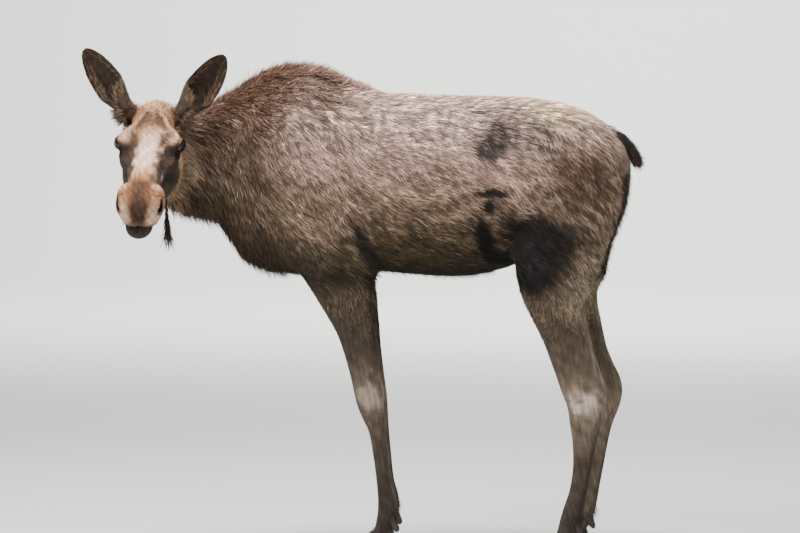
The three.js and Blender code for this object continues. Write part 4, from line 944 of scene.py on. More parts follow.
def body_colour_and_light(x, y, z, n):
    """Pale grey-brown back and ribs, browner below, the change partly painted light: lit on top, in painted
    shade underneath. Red-brown crest, brown neck, near-black flank fold, stifle, elbow and back of the thigh;
    a near-black line of painted shade under the belly, painted shade under the neck and down the rear edges
    of the legs, and a painted sheen in the stifle patch; brown legs, paler at knee and hock."""
    jag = 16 * waves(np.stack([x, y, z], 1), 70, 5) + 7 * waves(np.stack([x, y, z], 1), 24, 6)
    low = 0.3 * jag
    # These ramps by height are partly the coat's own colour and partly painted light: paler towards the lit
    # top of back and rump, darker into painted shade below.
    ribs = ramp(z + jag, [(930, (40, 33, 26)), (985, (50, 41, 30)), (1060, (66, 54, 39)),
                          (1150, (92, 74, 59)), (1245, (126, 101, 86)), (1350, (154, 126, 114)),
                          (1430, (164, 137, 127)), (1520, (178, 150, 138))])
    nape = ramp(z + jag, [(1000, (52, 42, 30)), (1150, (82, 66, 50)), (1300, (82, 66, 54)),
                          (1420, (84, 67, 55)), (1530, (104, 77, 63))])
    rump = ramp(z + jag, [(930, (98, 84, 68)), (1080, (92, 77, 62)), (1180, (86, 70, 56)),
                          (1275, (78, 61, 48)), (1350, (108, 85, 72)), (1430, (150, 126, 112)),
                          (1500, (184, 159, 130))])
    coat = Paint(ribs)
    coat.lay(falling(x, -470, -250), nape)
    coat.lay(rising(x + 0.25 * (z - 1200), 420, 560), rump)
    # The shoulder's paler top, partly its own colour and partly a painted highlight, and its browner lower
    # part.
    coat.lay(0.6 * spot(x, z, -215, 1400, 190, 120, -20, 0.6), (126, 101, 90))
    coat.lay(0.5 * spot(x, z, -240, 1190, 130, 90, 20, 0.6), (112, 90, 76))
    # Crest: red-brown along the nape and withers, fading down the neck.
    over = np.interp(x, [r[0] for r in CREST_ROWS], [r[2] for r in CREST_ROWS])
    on_crest = rising(z - over + 0.8 * jag, -200, -30) * falling(x - jag, -240, -30)
    coat.lay(0.8 * on_crest, mixed(plain(len(x), 108, 86, 74), falling(x, -420, -240), tone(90, 68, 56)))
    # The neck: a little paler behind the jaw, and painted shade along its underside, where it faces down.
    coat.lay(0.6 * spot(x, z, -704, 1335, 42, 70, 0, 0.7) * falling(y, -60, -20), (196, 164, 136))
    coat.lay(0.7 * falling(n[:, 2], -0.6, -0.05) * falling(x, -480, -340), (38, 32, 23))
    # Smudges and folds of the flank.
    coat.lay(0.92 * spot(x + jag, z, 308, 1385, 62, 56), (46, 39, 37))
    coat.lay(0.75 * spot(x + jag, z, 400, 1432, 130, 54, -20, 0.6), (72, 60, 56))
    coat.lay(0.6 * spot(x, z, 420, 1275, 110, 38, 8, 0.7), (146, 120, 106))
    coat.lay(0.6 * spot(x + jag, z, 620, 1290, 90, 70, 0, 0.6), (66, 51, 40))
    dark = tone(20, 17, 16)
    coat.lay(0.97 * spot(x + low, z + low, 308, 1227, 56, 14, -5), dark)
    coat.lay(0.95 * spot(x + low, z, 296, 1188, 21, 26, 12), dark)
    ragged = 14 * waves(np.stack([x + 2.2 * z, y, z - 0.4 * x], 1), 46, 7)
    stifle = np.maximum.reduce([spot(x + low, z + low, 277, 1088, 26, 72, 6, 0.35),
                                spot(x + low, z + low, 330, 1012, 84, 30, -8, 0.35),
                                spot(x + ragged, z + 2 * low, 468, 1098, 138, 54, -4, 0.45),
                                spot(x + ragged, z + low, 470, 1040, 112, 74, 0, 0.45),
                                spot(x + ragged, z + low, 448, 962, 60, 64, 6, 0.55)])
    coat.lay(0.4 * spot(x + jag, z, 610, 965, 90, 90, 0, 0.6), (132, 114, 94))
    coat.lay(0.97 * stifle, dark * 0.5)
    # A painted sheen: a dim lilac grey laid in the middle of the stifle patch.
    coat.lay(0.2 * spot(x + jag, z, 452, 1000, 60, 60, 30, 0.7), (58, 52, 54))
    coat.lay(0.93 * spot(x + low, z + low, -116, 1066, 23, 86, 27, 0.3), (34, 28, 26))
    # Painted shade along the belly's underside, a near-black line.
    belly = falling(z + low, 955, 1000) * band(x, -130, -20, 330, 420)
    coat.lay(0.9 * belly, (32, 27, 21))
    groin = falling(np.abs(y), 60, 105) * band(x, 380, 450, 560, 640) * falling(z, 1040, 1120)
    coat.lay(0.8 * groin, (138, 124, 98))
    # The back of the thigh: a pale band and a dark fringe outside it.
    rear = rising(n[:, 0], 0.35, 0.75) * rising(x, 560, 640)
    coat.lay(0.4 * rear * rising(z, 1000, 1120), (142, 122, 104))
    fringe = (falling(np.abs(np.abs(y) - 92 - 0.5 * low), 22, 46) * band(z, 960, 1040, 1250, 1330)
              * rising(n[:, 0], 0.55, 0.85))
    coat.lay(0.9 * fringe, (30, 25, 23))
    # Legs.
    foreleg = Paint(ramp(z + 0.6 * jag, [(60, (44, 37, 31)), (150, (50, 41, 34)), (300, (56, 46, 38)),
                                         (430, (72, 60, 50)), (500, (90, 77, 66)), (560, (100, 87, 75)),
                                         (640, (80, 66, 55)), (720, (70, 58, 47)), (800, (76, 63, 51)),
                                         (930, (80, 66, 53))]))
    foreleg.lay(0.75 * spot(x + 1.6 * jag, z + 1.6 * jag, -80, 566, 44, 56, 0, 0.7), (150, 133, 119))
    # Painted shade: a dark strip down the rear edge of the foreleg above the knee, standing for a leg in
    # shadow behind it.
    foreleg.lay(0.65 * rising(n[:, 0], 0.45, 0.85) * rising(z, 620, 740), (44, 36, 30))
    hindleg = Paint(ramp(z + 0.6 * jag, [(60, (46, 39, 32)), (180, (54, 45, 37)), (330, (64, 53, 44)),
                                         (430, (96, 82, 70)), (500, (112, 97, 84)), (580, (108, 93, 79)),
                                         (660, (90, 76, 64)), (760, (86, 72, 59)), (850, (92, 77, 62)),
                                         (930, (98, 83, 67))]))
    hindleg.lay(0.7 * spot(x + jag, z, 605, 880, 70, 64, 0, 0.6), (150, 132, 108))
    # Painted shade: a dark strip down the rear edge of the hind leg below the hock, standing for a leg in
    # shadow behind it.
    hindleg.lay(0.5 * rising(n[:, 0], 0.3, 0.8) * falling(z, 440, 520), (44, 37, 32))
    hindleg.lay(0.9 * spot(x + 1.6 * jag, z + 1.6 * jag, 608, 536, 46, 40, 0, 0.7), (178, 160, 146))
    hindleg.lay(0.6 * rising(n[:, 0], 0.35, 0.8) * rising(z, 560, 620), (142, 126, 108))
    legs = foreleg
    legs.lay(rising(x, 200, 260), hindleg.colour)
    inner = rising(-np.sign(y) * n[:, 1], 0.2, 0.8)
    legs.lay(0.35 * inner, (128, 112, 92))
    coat.lay(falling(z + 0.5 * jag, 880, 960) * (1 - 0.95 * stifle), legs.colour)
    coat.lay(falling(z, 72, 120), (40, 34, 30))
    return coat.colour


def head_colour_and_light(p, left, nose, crown):
    """Orange-brown crown, pale brow and bridge, dark cheeks and eye surrounds, tan muzzle with a brown
    middle, and a chin darkened with painted shade; painted highlights on the cheek's crest and the nostril
    bulbs, and painted shade in the forehead's wrinkles, round under the bulbs and along the upper lip's lower
    rim."""
    aside = np.abs(left)
    jag = 5 * waves(p / MM, 34, 8) + 2.5 * waves(p / MM, 11, 9)
    mottle = waves(p / MM, 9, 14)
    a = aside + jag
    coat = Paint(plain(len(p), 92, 72, 54))
    # Crown and forehead: orange-brown with dark flecks, palest at the poll, darker between the brows.
    coat.lay(rising(crown + jag, -10, 30) * falling(nose, -20, 60), (154, 108, 74))
    coat.lay(0.8 * spot(left, nose + jag, 0, -150, 66, 44, 0, 0.5) * (crown > 20), (230, 184, 142))
    coat.lay(0.93 * spot(left, nose + jag, 0, -68, 54, 42, 0, 0.6) * (crown > 20), (88, 60, 43))
    coat.lay(0.35 * spot(left + jag, nose + jag, 8, -84, 20, 26, 0, 0.8) * (crown > 20), (170, 132, 106))
    flecks = (rising(0.5 * mottle + waves(p / MM, 20, 15), 0.25, 0.9) * rising(crown, 20, 45)
              * falling(nose, -20, 24))
    coat.lay(0.8 * flecks, (66, 43, 30))
    coat.lay(0.8 * bell_curve(np.hypot(aside - 31, nose + 92), 6) * (crown > 20), (52, 34, 26))
    ridge = 0.87 * (aside - 80 - 0.56 * (nose + 10))
    on_ridge = band(nose, -112, -84, -10, 20) * rising(crown, 24, 44)
    coat.lay(0.7 * bell_curve(ridge, 8) * on_ridge, (212, 166, 128))
    coat.lay(0.75 * bell_curve(ridge + 16, 6) * on_ridge, (70, 47, 33))
    coat.lay(0.7 * bell_curve(ridge - 12, 4) * on_ridge, (84, 58, 42))
    # Painted shade in the troughs of the wrinkles beside the ridges.
    furrow = falling(np.sin(ridge / 3.4 + 1.5 * np.sin(nose / 13)), -0.9, 0.1) * rising(aside, 26, 44)
    coat.lay(0.5 * furrow * band(nose, -130, -95, -30, 0) * (crown > 24), (78, 52, 37))
    # Jaw and sides of the head behind the eyes.
    coat.lay(0.7 * falling(crown, -100, -60) * falling(nose, 100, 170), (84, 68, 48))
    coat.lay(0.7 * falling(crown, -50, -5) * falling(nose, -20, 40), (150, 120, 92))
    coat.lay(0.8 * bell_curve(nose + 74 + jag + 0.5 * (crown + 60), 25) * falling(crown, -40, 0),
             (188, 153, 119))
    cheek = (rising(a, 31, 47) * rising(nose - 0.14 * aside, -34, 4) * falling(nose, 200, 236)
             * falling(crown, 30, 56))
    coat.lay(0.92 * cheek, mixed(plain(len(p), 50, 37, 28), 0.45 * rising(waves(p / MM, 60, 16), -0.1, 0.8),
                                 tone(84, 65, 50)))
    # A painted highlight along the lit crest of the cheek.
    lit = bell_curve(crown + 6 + 0.22 * (nose - 60), 9) * band(nose, 40, 80, 140, 190)
    lit = lit * rising(nose, 90, 120) * rising(waves(p / MM, 40, 17), -0.7, 0.5)
    coat.lay(0.9 * lit * cheek, (182, 158, 142))
    # The pale bridge: wide at the brows, narrow at its middle, turning orange towards the nose.
    half = np.interp(nose, [-40, 20, 70, 120, 180], [36, 36, 33, 29, 33]) + 1.6 * jag
    off = np.interp(nose, [-40, 10, 60, 110], [16, 12, 2, -5])
    bridge = ((1 - rising(np.abs(left - off), half - 16, half + 14)) * rising(nose + 1.6 * jag, -64, 4)
              * rising(crown, -20, 10))
    pale = ramp(nose, [(-40, (184, 140, 112)), (10, (214, 175, 152)), (60, (242, 206, 184)),
                       (120, (250, 207, 182)), (150, (220, 168, 130)), (195, (176, 120, 78)),
                       (240, (146, 94, 56))])
    pale = pale * (1 - 0.16 * rising(mottle, 0.0, 1.0))[:, None]
    coat.lay(bridge * falling(nose, 215, 250), pale)
    brow = spot(aside, nose + jag, 74, -4, 26, 34, 0, 0.4) * rising(crown, 40, 54)
    coat.lay(0.8 * brow, (204, 164, 134))
    coat.lay(0.9 * spot(aside + jag, nose, 51, 16, 16, 36, 16, 0.6) * (crown > 12), (72, 51, 38))
    # The muzzle: tan, with a painted highlight on the bulbs over the nostrils, a dark brown middle and pale
    # pads above the lips.
    muzzle = rising(nose + jag, 200, 232)
    coat.lay(0.95 * muzzle * rising(crown, -98, -84), (150, 103, 70))
    bulb = np.hypot(np.hypot(aside - 50, nose - 256), crown - 14)
    coat.lay(0.75 * (1 - rising(bulb, 12, 27)), (208, 162, 130))
    middle = spot(left + 0.7 * jag, crown + 0.6 * jag, 0, -18, 36, 78, 0, 0.55) * rising(nose, 198, 242)
    coat.lay(0.93 * middle, ramp(crown, [(-80, (28, 18, 11)), (-30, (38, 24, 14)), (0, (42, 27, 16)),
                                         (40, (70, 45, 28))]))
    pads = spot(aside + 0.7 * jag, crown + 0.7 * jag, 50, -38, 19, 32, 0, 0.8) * rising(nose, 240, 268)
    coat.lay(0.85 * pads, (216, 180, 152))
    _, above = mouth_measures(p)
    # Painted shade along the upper lip's lower rim, where it rounds under.
    coat.lay(0.8 * falling(above, 8, 26) * rising(nose, 200, 225), (74, 52, 36))
    lip = bell_curve(above - 3, 8) * rising(nose, 200, 225)
    coat.lay(0.75 * lip, (66, 50, 36))
    # Painted shade: the lower lip and chin below the slit, under the overhanging upper lip.
    coat.lay(0.95 * falling(above, -4, 0) * rising(nose, 180, 210), (50, 42, 32))
    coat.lay(bell_curve(above, 2.8) * rising(nose, 196, 212), (20, 15, 13))
    # Painted shade in the crease that runs round under each bulb.
    crease = bell_curve(bulb - 31, 4.0) * rising(nose - crown, 262, 286)
    coat.lay(0.85 * crease * rising(aside, 14, 34), (66, 42, 28))
    for s in (1, -1):
        out, u, v, edge = lid_measures(p, s)
        near = (out > -12) & (np.hypot(u, v) < 72)
        around = 1 - rising(edge - 11 * (v < 0) - 0.12 * u.clip(0) + 0.4 * jag, 4, 13)
        coat.lay(near * 0.95 * around * falling(v, 9, 20), (26, 20, 17))
        pouch = spot(u + 0.3 * jag, v, 8, -24, 30, 13, -12, 0.4)
        coat.lay(near * 0.9 * pouch, (44, 32, 26))
        coat.lay(near * 0.85 * bell_curve(np.hypot((u - 8) / 30, (v + 24) / 13) - 1.08, 0.13) * (v < -20),
                 (196, 162, 130))
        coat.lay(near * (1 - rising(edge, 1.8, 4.2)), (12, 9, 9))
        tear = bell_curve(v + 0.34 * (u - LID_LONG), 5) * band(u, LID_LONG - 3, LID_LONG + 4, 40, 60)
        coat.lay(near * 0.85 * tear, (24, 18, 17))
        d, gap = nostril_measures(p, s)
        coat.lay((np.abs(d) < 34) * 0.6 * (1 - rising(gap, 2, 13)), (84, 56, 40))
        coat.lay((np.abs(d) < 34) * (1 - rising(gap, -0.5, 3.5)), (14, 10, 9))
        ear = np.linalg.norm(p - head_point(*EAR_FEET[s]), axis=1) / MM
        outer = rising(s * left - 0.5 * (crown - 50), 62, 92)
        coat.lay(0.9 * (1 - rising(ear + jag, 40, 68)) * outer, (52, 40, 33))
        coat.lay(0.8 * (1 - rising(ear + jag, 34, 54)), (68, 52, 41))
    return coat.colour


def coat_colour_and_light(p, n):
    """The coat's colour, painted light and shade included, at points of the skin with the given normals."""
    x, y, z, onto = measures(p)
    left, nose, crown = in_head(p)
    body = body_colour_and_light(x, y, z, n)
    at_tail = 1 - rising(tail.distance(p, tail.near(p)) / MM, 2, 9)
    body = mixed(body, 0.95 * at_tail * rising(x, 690, 712), tone(34, 28, 26))
    body = mixed(body, 0.6 * falling(crown, -110, -60) * rising(onto, 0.0, 0.5), tone(84, 68, 52))
    head = head_colour_and_light(p, left, nose, crown)
    both = mixed(body, onto, head)
    return both * (1 + 0.07 * waves(p, 0.05, 11) + 0.05 * waves(p, 0.016, 12))[:, None]


# ---------- the lie of the coat ----------
def lie_of(p, n):
    """Which way the hair lies: back and down over the body, down the legs, from the nose back over the
    face."""
    x, y, z, onto = measures(p)
    left, nose, crown = in_head(p)
    upright = np.abs(n[:, 1])

    def way(ax, ay, az):
        return np.stack([ax + 0 * x, ay + 0 * x, az + 0 * x], 1)

    lie = way(1, 0, -0.08 - 0.45 * upright)
    lie = mixed(lie, 0.8 * falling(x, -200, -60) * falling(z, 1380, 1500), way(0.55, 0, -0.8))
    lie = mixed(lie, 0.8 * rising(x, 350, 520) * falling(z, 1420, 1530), way(0.5, 0, -0.85))
    lie = mixed(lie, falling(z, 960, 1040) * (n[:, 2] < -0.3), way(1, 0, 0))
    aside = falling(y, -170, -10)
    neck_way = way(1, 0, -0.2 - 0.4 * upright) + aside[:, None] * (way(0.42, 0.62, -0.85) - way(1, 0, -0.4))
    lie = mixed(lie, falling(x, -540, -400), neck_way)
    lie = mixed(lie, falling(z, 860, 960), way(0.12, 0, -1))
    face = (-NOSE + 0.25 * falling(crown, -60, 0)[:, None] * head_way(0, 0, -1)
            + 0.3 * rising(nose, 200, 260)[:, None] * np.sign(left)[:, None] * HEAD_LEFT)
    lie = mixed(lie, onto, face)
    at_tail = rising(x, 690, 720) * (np.abs(y) < 34) * (z > 1320)
    lie = mixed(lie, at_tail, way(0.6, 0, -0.8))
    # The lie sways a little from place to place, which parts the coat into streaks.
    side = np.cross(n, unit(lie))
    sway = 0.20 * waves(p, 0.13, 21) + 0.16 * waves(p, 0.035, 22)
    lie = unit(lie) + sway[:, None] * side
    return unit(lie - dot(lie, n)[:, None] * n)


def streaks(p):
    """Light and dark streaks of about -1 to 1 that run with the hair: noise of short waves, its measure
    along the general lie of the body, the neck or the legs drawn out to four times that across."""
    x, y, z, onto = measures(p)
    ways = [(unit(np.array([0.9, 0.0, -0.42])), 1.0 + 0 * x),
            (unit(np.array([0.55, 0.35, -0.75])), falling(x, -560, -430) * falling(y, -60, 10)),
            (unit(np.array([0.1, 0.0, -1.0])), falling(z, 880, 960)), (NOSE, onto)]
    total = np.zeros(len(p))
    for number, (way, share) in enumerate(ways):
        drawn = p - 0.82 * (p @ way)[:, None] * way
        own = 0.45 * waves(drawn, 0.022, 51 + number) + 0.95 * waves(drawn, 0.010, 61 + number)
        total += (own - total) * share
    return total


def by_curve(low, high, value):
    """A number 0 to 1 for points in [low, high] along each axis, bits interleaved: near points get near
    numbers."""
    cell = ((value - low) / (high - low).max() * 255).astype(np.int64).clip(0, 255)
    key = np.zeros(len(value), np.int64)
    for bit in range(8):
        for k in range(3):
            key |= ((cell[:, k] >> bit) & 1) << (3 * bit + k)
    return key


def sow(points, tris, normals, share):
    """Roots spread evenly over triangles: share is how many fall on each, and they are drawn one to each
    equal step of the running total, along a path that visits near triangles together."""
    middles = points[tris].mean(1)
    order = np.argsort(by_curve(middles.min(0), middles.max(0), middles), kind="stable")
    total = np.cumsum(share[order])
    count = int(total[-1])
    at = (np.arange(count) + rng.random(count)) / count * total[-1]
    chosen = order[np.searchsorted(total, at).clip(0, len(order) - 1)]
    a, b = rng.random((2, count))
    over = a + b > 1
    a, b = np.where(over, 1 - a, a), np.where(over, 1 - b, b)
    w = np.stack([1 - a - b, a, b], 1)[:, :, None]
    return (points[tris[chosen]] * w).sum(1), unit((normals[tris[chosen]] * w).sum(1))


SPIKE, BENT = (0.0,), (0.0, 0.45)  # where a tuft's rings lie, as shares of its length
# the tip's colour is reached here, and a tuft's patch on the unwrap is this long
TIP_SHARE, PATCH = 0.9, 0.003


def tufts(root, n, lie, length, width, lift, root_tint, tip_tint, hang=0.0, curl=0.0, stations=(0.0, 0.5),
          sink=1.5):
    """Flat three-sided tufts that taper to a point. At t the middle is length (t (1 - 0.1 t) along the lie
    and lift t (1 - 0.5 t) off the skin), less hang t^2 downwards and curl t^2 aside."""
    count = len(root)
    length, width, lift, hang, curl = (np.broadcast_to(v, count)[:, None]
                                       for v in (length, width, lift, hang, curl))
    side = unit(np.cross(n, lie))

    def middle(t):
        return root - sink * MM * n + length * MM * (
            t * (1 - 0.1 * t) * lie + lift * t * (1 - 0.5 * t) * n - hang * t * t * UP + curl * t * t * side)

    rings = []
    for t in stations:
        along = unit(middle(t + 0.05) - middle(t))
        up = np.cross(side, along) * -1
        half = width * MM * (0.34 if t == 0 and len(stations) > 1 else 0.5 * (1 - t) ** 0.4 + 0.05)
        rings += [middle(t) - half * side, middle(t) + 0.45 * half * up, middle(t) + half * side]
    points = np.stack([*rings, middle(1.0)], 1)
    k = len(stations)
    pattern = [(0, 2, 1)]
    for r in range(k - 1):
        for i in range(3):
            a, b = 3 * r + i, 3 * r + (i + 1) % 3
            pattern += [(a, b, a + 3), (b, b + 3, a + 3)]
    pattern += [(3 * (k - 1) + i, 3 * (k - 1) + (i + 1) % 3, 3 * k) for i in range(3)]
    pattern = np.array(pattern)
    size = 3 * k + 1
    volume = dot(points[:20][:, pattern[:, 0]],
                 np.cross(points[:20][:, pattern[:, 1]], points[:20][:, pattern[:, 2]]))
    if volume.sum() < 0:
        pattern = pattern[:, ::-1]
    tris = (np.arange(count)[:, None, None] * size + pattern).reshape(-1, 3)
    t = np.repeat([*stations, 1.0], [3] * k + [1])
    share = rising(t, 0.0, TIP_SHARE)[None, :, None]
    # Painted shade: each tuft darkens towards its root, which the tufts over it shade.
    tint = root_tint[:, None, :] * (0.36 + 0.64 * rising(t, 0, 0.45))[None, :, None]
    colour = tint * (1 - share) + tip_tint[:, None, :] * share
    patch = np.stack([np.tile([-1, 0, 1], k + 1)[:size] * (t < 1) * PATCH / 2, t * PATCH], 1)
    return points.reshape(-1, 3), tris, colour.reshape(-1, 3), patch, size


def unwrap(root, origin, axis, ref, low, high):
    """Round an axis and along it: u is the angle about it as a share of a turn, v the way along it."""
    axis = unit(np.asarray(axis, float))
    ref = unit(ref - (axis @ ref) * axis)
    q = root - origin
    angle = np.arctan2(q @ np.cross(axis, ref), q @ ref)
    v = (q @ axis / MM - low) / (high - low)
    return np.stack([0.01 + 0.98 * (angle / (2 * math.pi) + 0.5), 0.01 + 0.975 * v.clip(0, 1)], 1)


# ---------- finishes ----------
def new_group(name, inputs, outputs):
    group = bpy.data.node_groups.new(name, "ShaderNodeTree")
    for label, kind, value in inputs:
        socket = group.interface.new_socket(label, in_out="INPUT", socket_type=kind)
        if value is not None:
            socket.default_value = value
    for label, kind in outputs:
        group.interface.new_socket(label, in_out="OUTPUT", socket_type=kind)
    return group, group.nodes.new("NodeGroupInput"), group.nodes.new("NodeGroupOutput")


def new_node(tree, kind, inputs=(), operation=None):
    """A shader node with some of its inputs set, by label or by number."""
    node = tree.nodes.new("ShaderNode" + kind)
    if operation:
        node.operation = operation
    for label, value in dict(inputs).items():
        node.inputs[label].default_value = value
    return node


def short_hair():
    """Fine grain of flat hair: noise stretched to streaks tints the colour by Contrast and gives a height."""
    group, given, out = new_group(
        "short hair",
        [("Color", "NodeSocketColor", (0.3, 0.25, 0.2, 1)), ("Scale", "NodeSocketFloat", 260.0),
         ("Contrast", "NodeSocketFloat", 0.3)],
        [("Color", "NodeSocketColor"), ("Height", "NodeSocketFloat")])
    links = group.links
    coordinates = new_node(group, "TexCoord")
    squeeze = new_node(group, "Mapping", {"Scale": (0.35, 0.8, 0.5)})
    grain = new_node(group, "TexNoise", {"Detail": 4.0, "Roughness": 0.65})
    level = new_node(group, "Math", {1: 0.5}, "SUBTRACT")
    amount = new_node(group, "Math", {2: 1.0}, "MULTIPLY_ADD")
    tint = new_node(group, "VectorMath", operation="SCALE")
    links.new(coordinates.outputs["Object"], squeeze.inputs["Vector"])
    links.new(squeeze.outputs["Vector"], grain.inputs["Vector"])
    links.new(given.outputs["Scale"], grain.inputs["Scale"])
    links.new(grain.outputs["Fac"], level.inputs[0])
    links.new(level.outputs[0], amount.inputs[0])
    links.new(given.outputs["Contrast"], amount.inputs[1])
    links.new(given.outputs["Color"], tint.inputs[0])
    links.new(amount.outputs[0], tint.inputs["Scale"])
    links.new(tint.outputs["Vector"], out.inputs["Color"])
    links.new(grain.outputs["Fac"], out.inputs["Height"])
    return group


HAIR = short_hair()
BUMP_DEPTH = 2 * MM


def coat_finish(name, scale, contrast, bump, roughness, sheen=0.0, specular=0.3, coat=0.0):
    """A finish whose colour is the piece's own "tint" attribute, grained by the short hair group."""
    material = bpy.data.materials.new(name)
    material.use_nodes = True
    tree = material.node_tree
    links, shader = tree.links, tree.nodes["Principled BSDF"]
    tint = new_node(tree, "Attribute")
    tint.attribute_name = "tint"
    hair = tree.nodes.new("ShaderNodeGroup")
    hair.node_tree = HAIR
    hair.inputs["Scale"].default_value = scale
    hair.inputs["Contrast"].default_value = contrast
    links.new(tint.outputs["Color"], hair.inputs["Color"])
    links.new(hair.outputs["Color"], shader.inputs["Base Color"])
    for label, value in (("Roughness", roughness), ("Specular IOR Level", specular), ("Sheen Weight", sheen),
                         ("Sheen Roughness", 0.5), ("Coat Weight", coat), ("Coat Roughness", 0.05)):
        shader.inputs[label].default_value = value
    if bump:
        relief = new_node(tree, "Bump", {"Strength": bump, "Distance": BUMP_DEPTH})
        links.new(hair.outputs["Height"], relief.inputs["Height"])
        links.new(relief.outputs["Normal"], shader.inputs["Normal"])
    return material


SKIN = coat_finish("short coat over skin", 420.0, 0.9, 0.6, 0.85, sheen=0.03, specular=0.2)
TUFTS = coat_finish("coat tufts", 300.0, 0.35, 0.0, 0.75, specular=0.16)
HORN = coat_finish("hoof horn", 120.0, 0.5, 0.35, 0.5)
EYES = coat_finish("eye", 900.0, 0.1, 0.0, 0.2, specular=0.25, coat=0.15)
LEATHER = coat_finish("bare lids, nostrils and lips", 700.0, 0.4, 0.5, 0.38, specular=0.5)


# ---------- the figure ----------
def keep(obj, slot, *nodes):
    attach(obj, "root")
    if nodes:
        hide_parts(*nodes)


skin_points, skin_tris = build_skin()
skin_normals = normals_of(skin_points, skin_tris)
skin_tint = coat_colour_and_light(skin_points, skin_normals)


def bare(p):
    """1 on the lids' edges, in the nostrils and on the slit of the mouth, where no hair grows."""
    nose = in_head(p)[1]
    angle, above = mouth_measures(p)
    most = (np.abs(above + 1) < 3.2) & (nose > 198) & (np.abs(angle) < 1.55)
    for s in (1, -1):
        out, u, v, edge = lid_measures(p, s)
        d, gap = nostril_measures(p, s)
        most = most | ((edge < 2.6) & (out > 0) & (np.hypot(u, v) < 60)) | ((gap < 2.2) & (np.abs(d) < 30))
    return most


mid = skin_points[skin_tris].mean(1)
skin_bare = bare(mid) & (measures(mid)[3] > 0.5)
_, _, skin_z, skin_onto = measures(skin_points)
# painted shade between the tufts: the skin is made dimmer than the hair over it, most on the body, and
# streaked
shade_between_tufts = 0.78 - 0.38 * (1 - skin_onto) * rising(skin_z, 500, 900)
shade_between_tufts = shade_between_tufts * np.exp(0.32 * streaks(skin_points))
skin = make_object("skin", skin_points, skin_tris, [SKIN, LEATHER], tint=skin_tint * shade_between_tufts[:, None],
                   slots=skin_bare)
LEG_NODES = [f"{limb}_{part}_{side}" for limb in FEET for part in ("upper", "lower") for side in SIDES]
keep(skin, "coat", "torso", "neck", "head", "tail", *LEG_NODES)

for s, side in ((1, "left"), (-1, "right")):
    points, tris = ear_shell(s)
    foot, axis, facing, across = ear_frame(s)
    t = (points - foot) @ axis / MM / EAR_LENGTH
    dark = tone(58, 44, 36) * (1 + 0.3 * waves(points, 0.03, 31))[:, None]
    colour = mixed(dark, 0.55 * falling(t, 0.0, 0.3), tone(50, 39, 32))
    keep(make_object(f"ear_{side}_shell", points, tris, [SKIN], tint=colour * 0.8), "dark_coat",
         f"ear_{side}")
    points, tris, colour = eyeball(s)
    keep(make_object(f"eye_{side}_ball", points, tris, [EYES], tint=colour), "eye", f"eye_{side}")

for limb in FEET:
    for side, sign in SIDES.items():
        for inward, which in ((sign * -1, "outer"), (sign, "inner")):
            for label, maker in (("claw", claw), ("dewclaw", dewclaw)):
                points, tris = maker(limb, sign, -sign if which == "inner" else sign)
                height = (points[:, 2] - points[:, 2].min()) / np.ptp(points[:, 2])
                colour = np.outer(0.75 + 0.5 * height, tone(52, 45, 40))
                piece = make_object(f"{limb}_{label}_{which}_{side}_horn", points, tris, [HORN], tint=colour)
                keep(piece, "horn", f"{limb}_{label}_{which}_{side}")

points, tris = bell_core()
bell = make_object("bell_core", points, tris, [SKIN], tint=plain(len(points), 48, 39, 33))
keep(bell, "dark_coat", "bell")

# ---------- the coat ----------
def style(p, n):
    """Length and width of the tufts in mm, how far they stand off, and how many square mm of skin there are
    to one."""
    x, _, z, onto = measures(p)
    _, nose, crown = in_head(p)
    length = 15 + 17 * rising(z, 600, 1010)
    length += 14 * falling(x, -520, -380) + 7 * falling(n[:, 2], -0.8, -0.3) * (z > 900)
    poll = falling(nose, -130, -90) * rising(crown, 40, 70)
    face = (9 + 8 * falling(nose, -90, 30) - 3 * rising(nose, 150, 230) + 6 * falling(crown, -100, -40)
            + 9 * poll)
    length = length + (face - length) * onto
    width = 1.3 + 2.0 * rising(length, 6, 34) + 0.8 * rising(length, 34, 48)
    lift = (0.14 + 0.08 * rising(length, 14, 36) + 0.16 * falling(x, -540, -400) * (1 - onto)
            + 0.35 * poll * onto)
    area = 5.2 + 8.3 * rising(length, 6, 16) + 1.0 * rising(length, 36, 48)
    area = area * (1 + 0.3 * onto)
    return length, width, lift, area


skin_area = (np.linalg.norm(np.cross(skin_points[skin_tris[:, 1]] - skin_points[skin_tris[:, 0]],
                                     skin_points[skin_tris[:, 2]] - skin_points[skin_tris[:, 0]]), axis=1)
             / 2 / MM**2)
mid_n = unit(skin_normals[skin_tris].mean(1))
mx, my, mz, monto = measures(mid)
mleft, mnose, mcrown = in_head(mid)
on_tail = (tail.distance(mid, tail.near(mid)) < 7 * MM) & (mx > 700)
haired = ~(skin_bare | on_tail | (mz < 62))
mid_share = skin_area / style(mid, mid_n)[3]
on_leg = mz < ELBOW_Z


def add_coat(name, slot, root, n, lie, length, width, lift, tint, tip, frame_of, **more):
    """One piece of the coat, with each tuft's own small patch on the unwrap of the skin round the given
    axis."""
    points, tris, colour, patch, size = tufts(root, n, lie, length, width, lift, tint, tip, **more)
    uv = (unwrap(root, *frame_of)[:, None, :] + patch[None]).reshape(-1, 2)
    obj = make_object(name, points, tris, [TUFTS], smooth=size > 4, tint=colour, OFBake=uv)
    keep(obj, slot)
    return obj


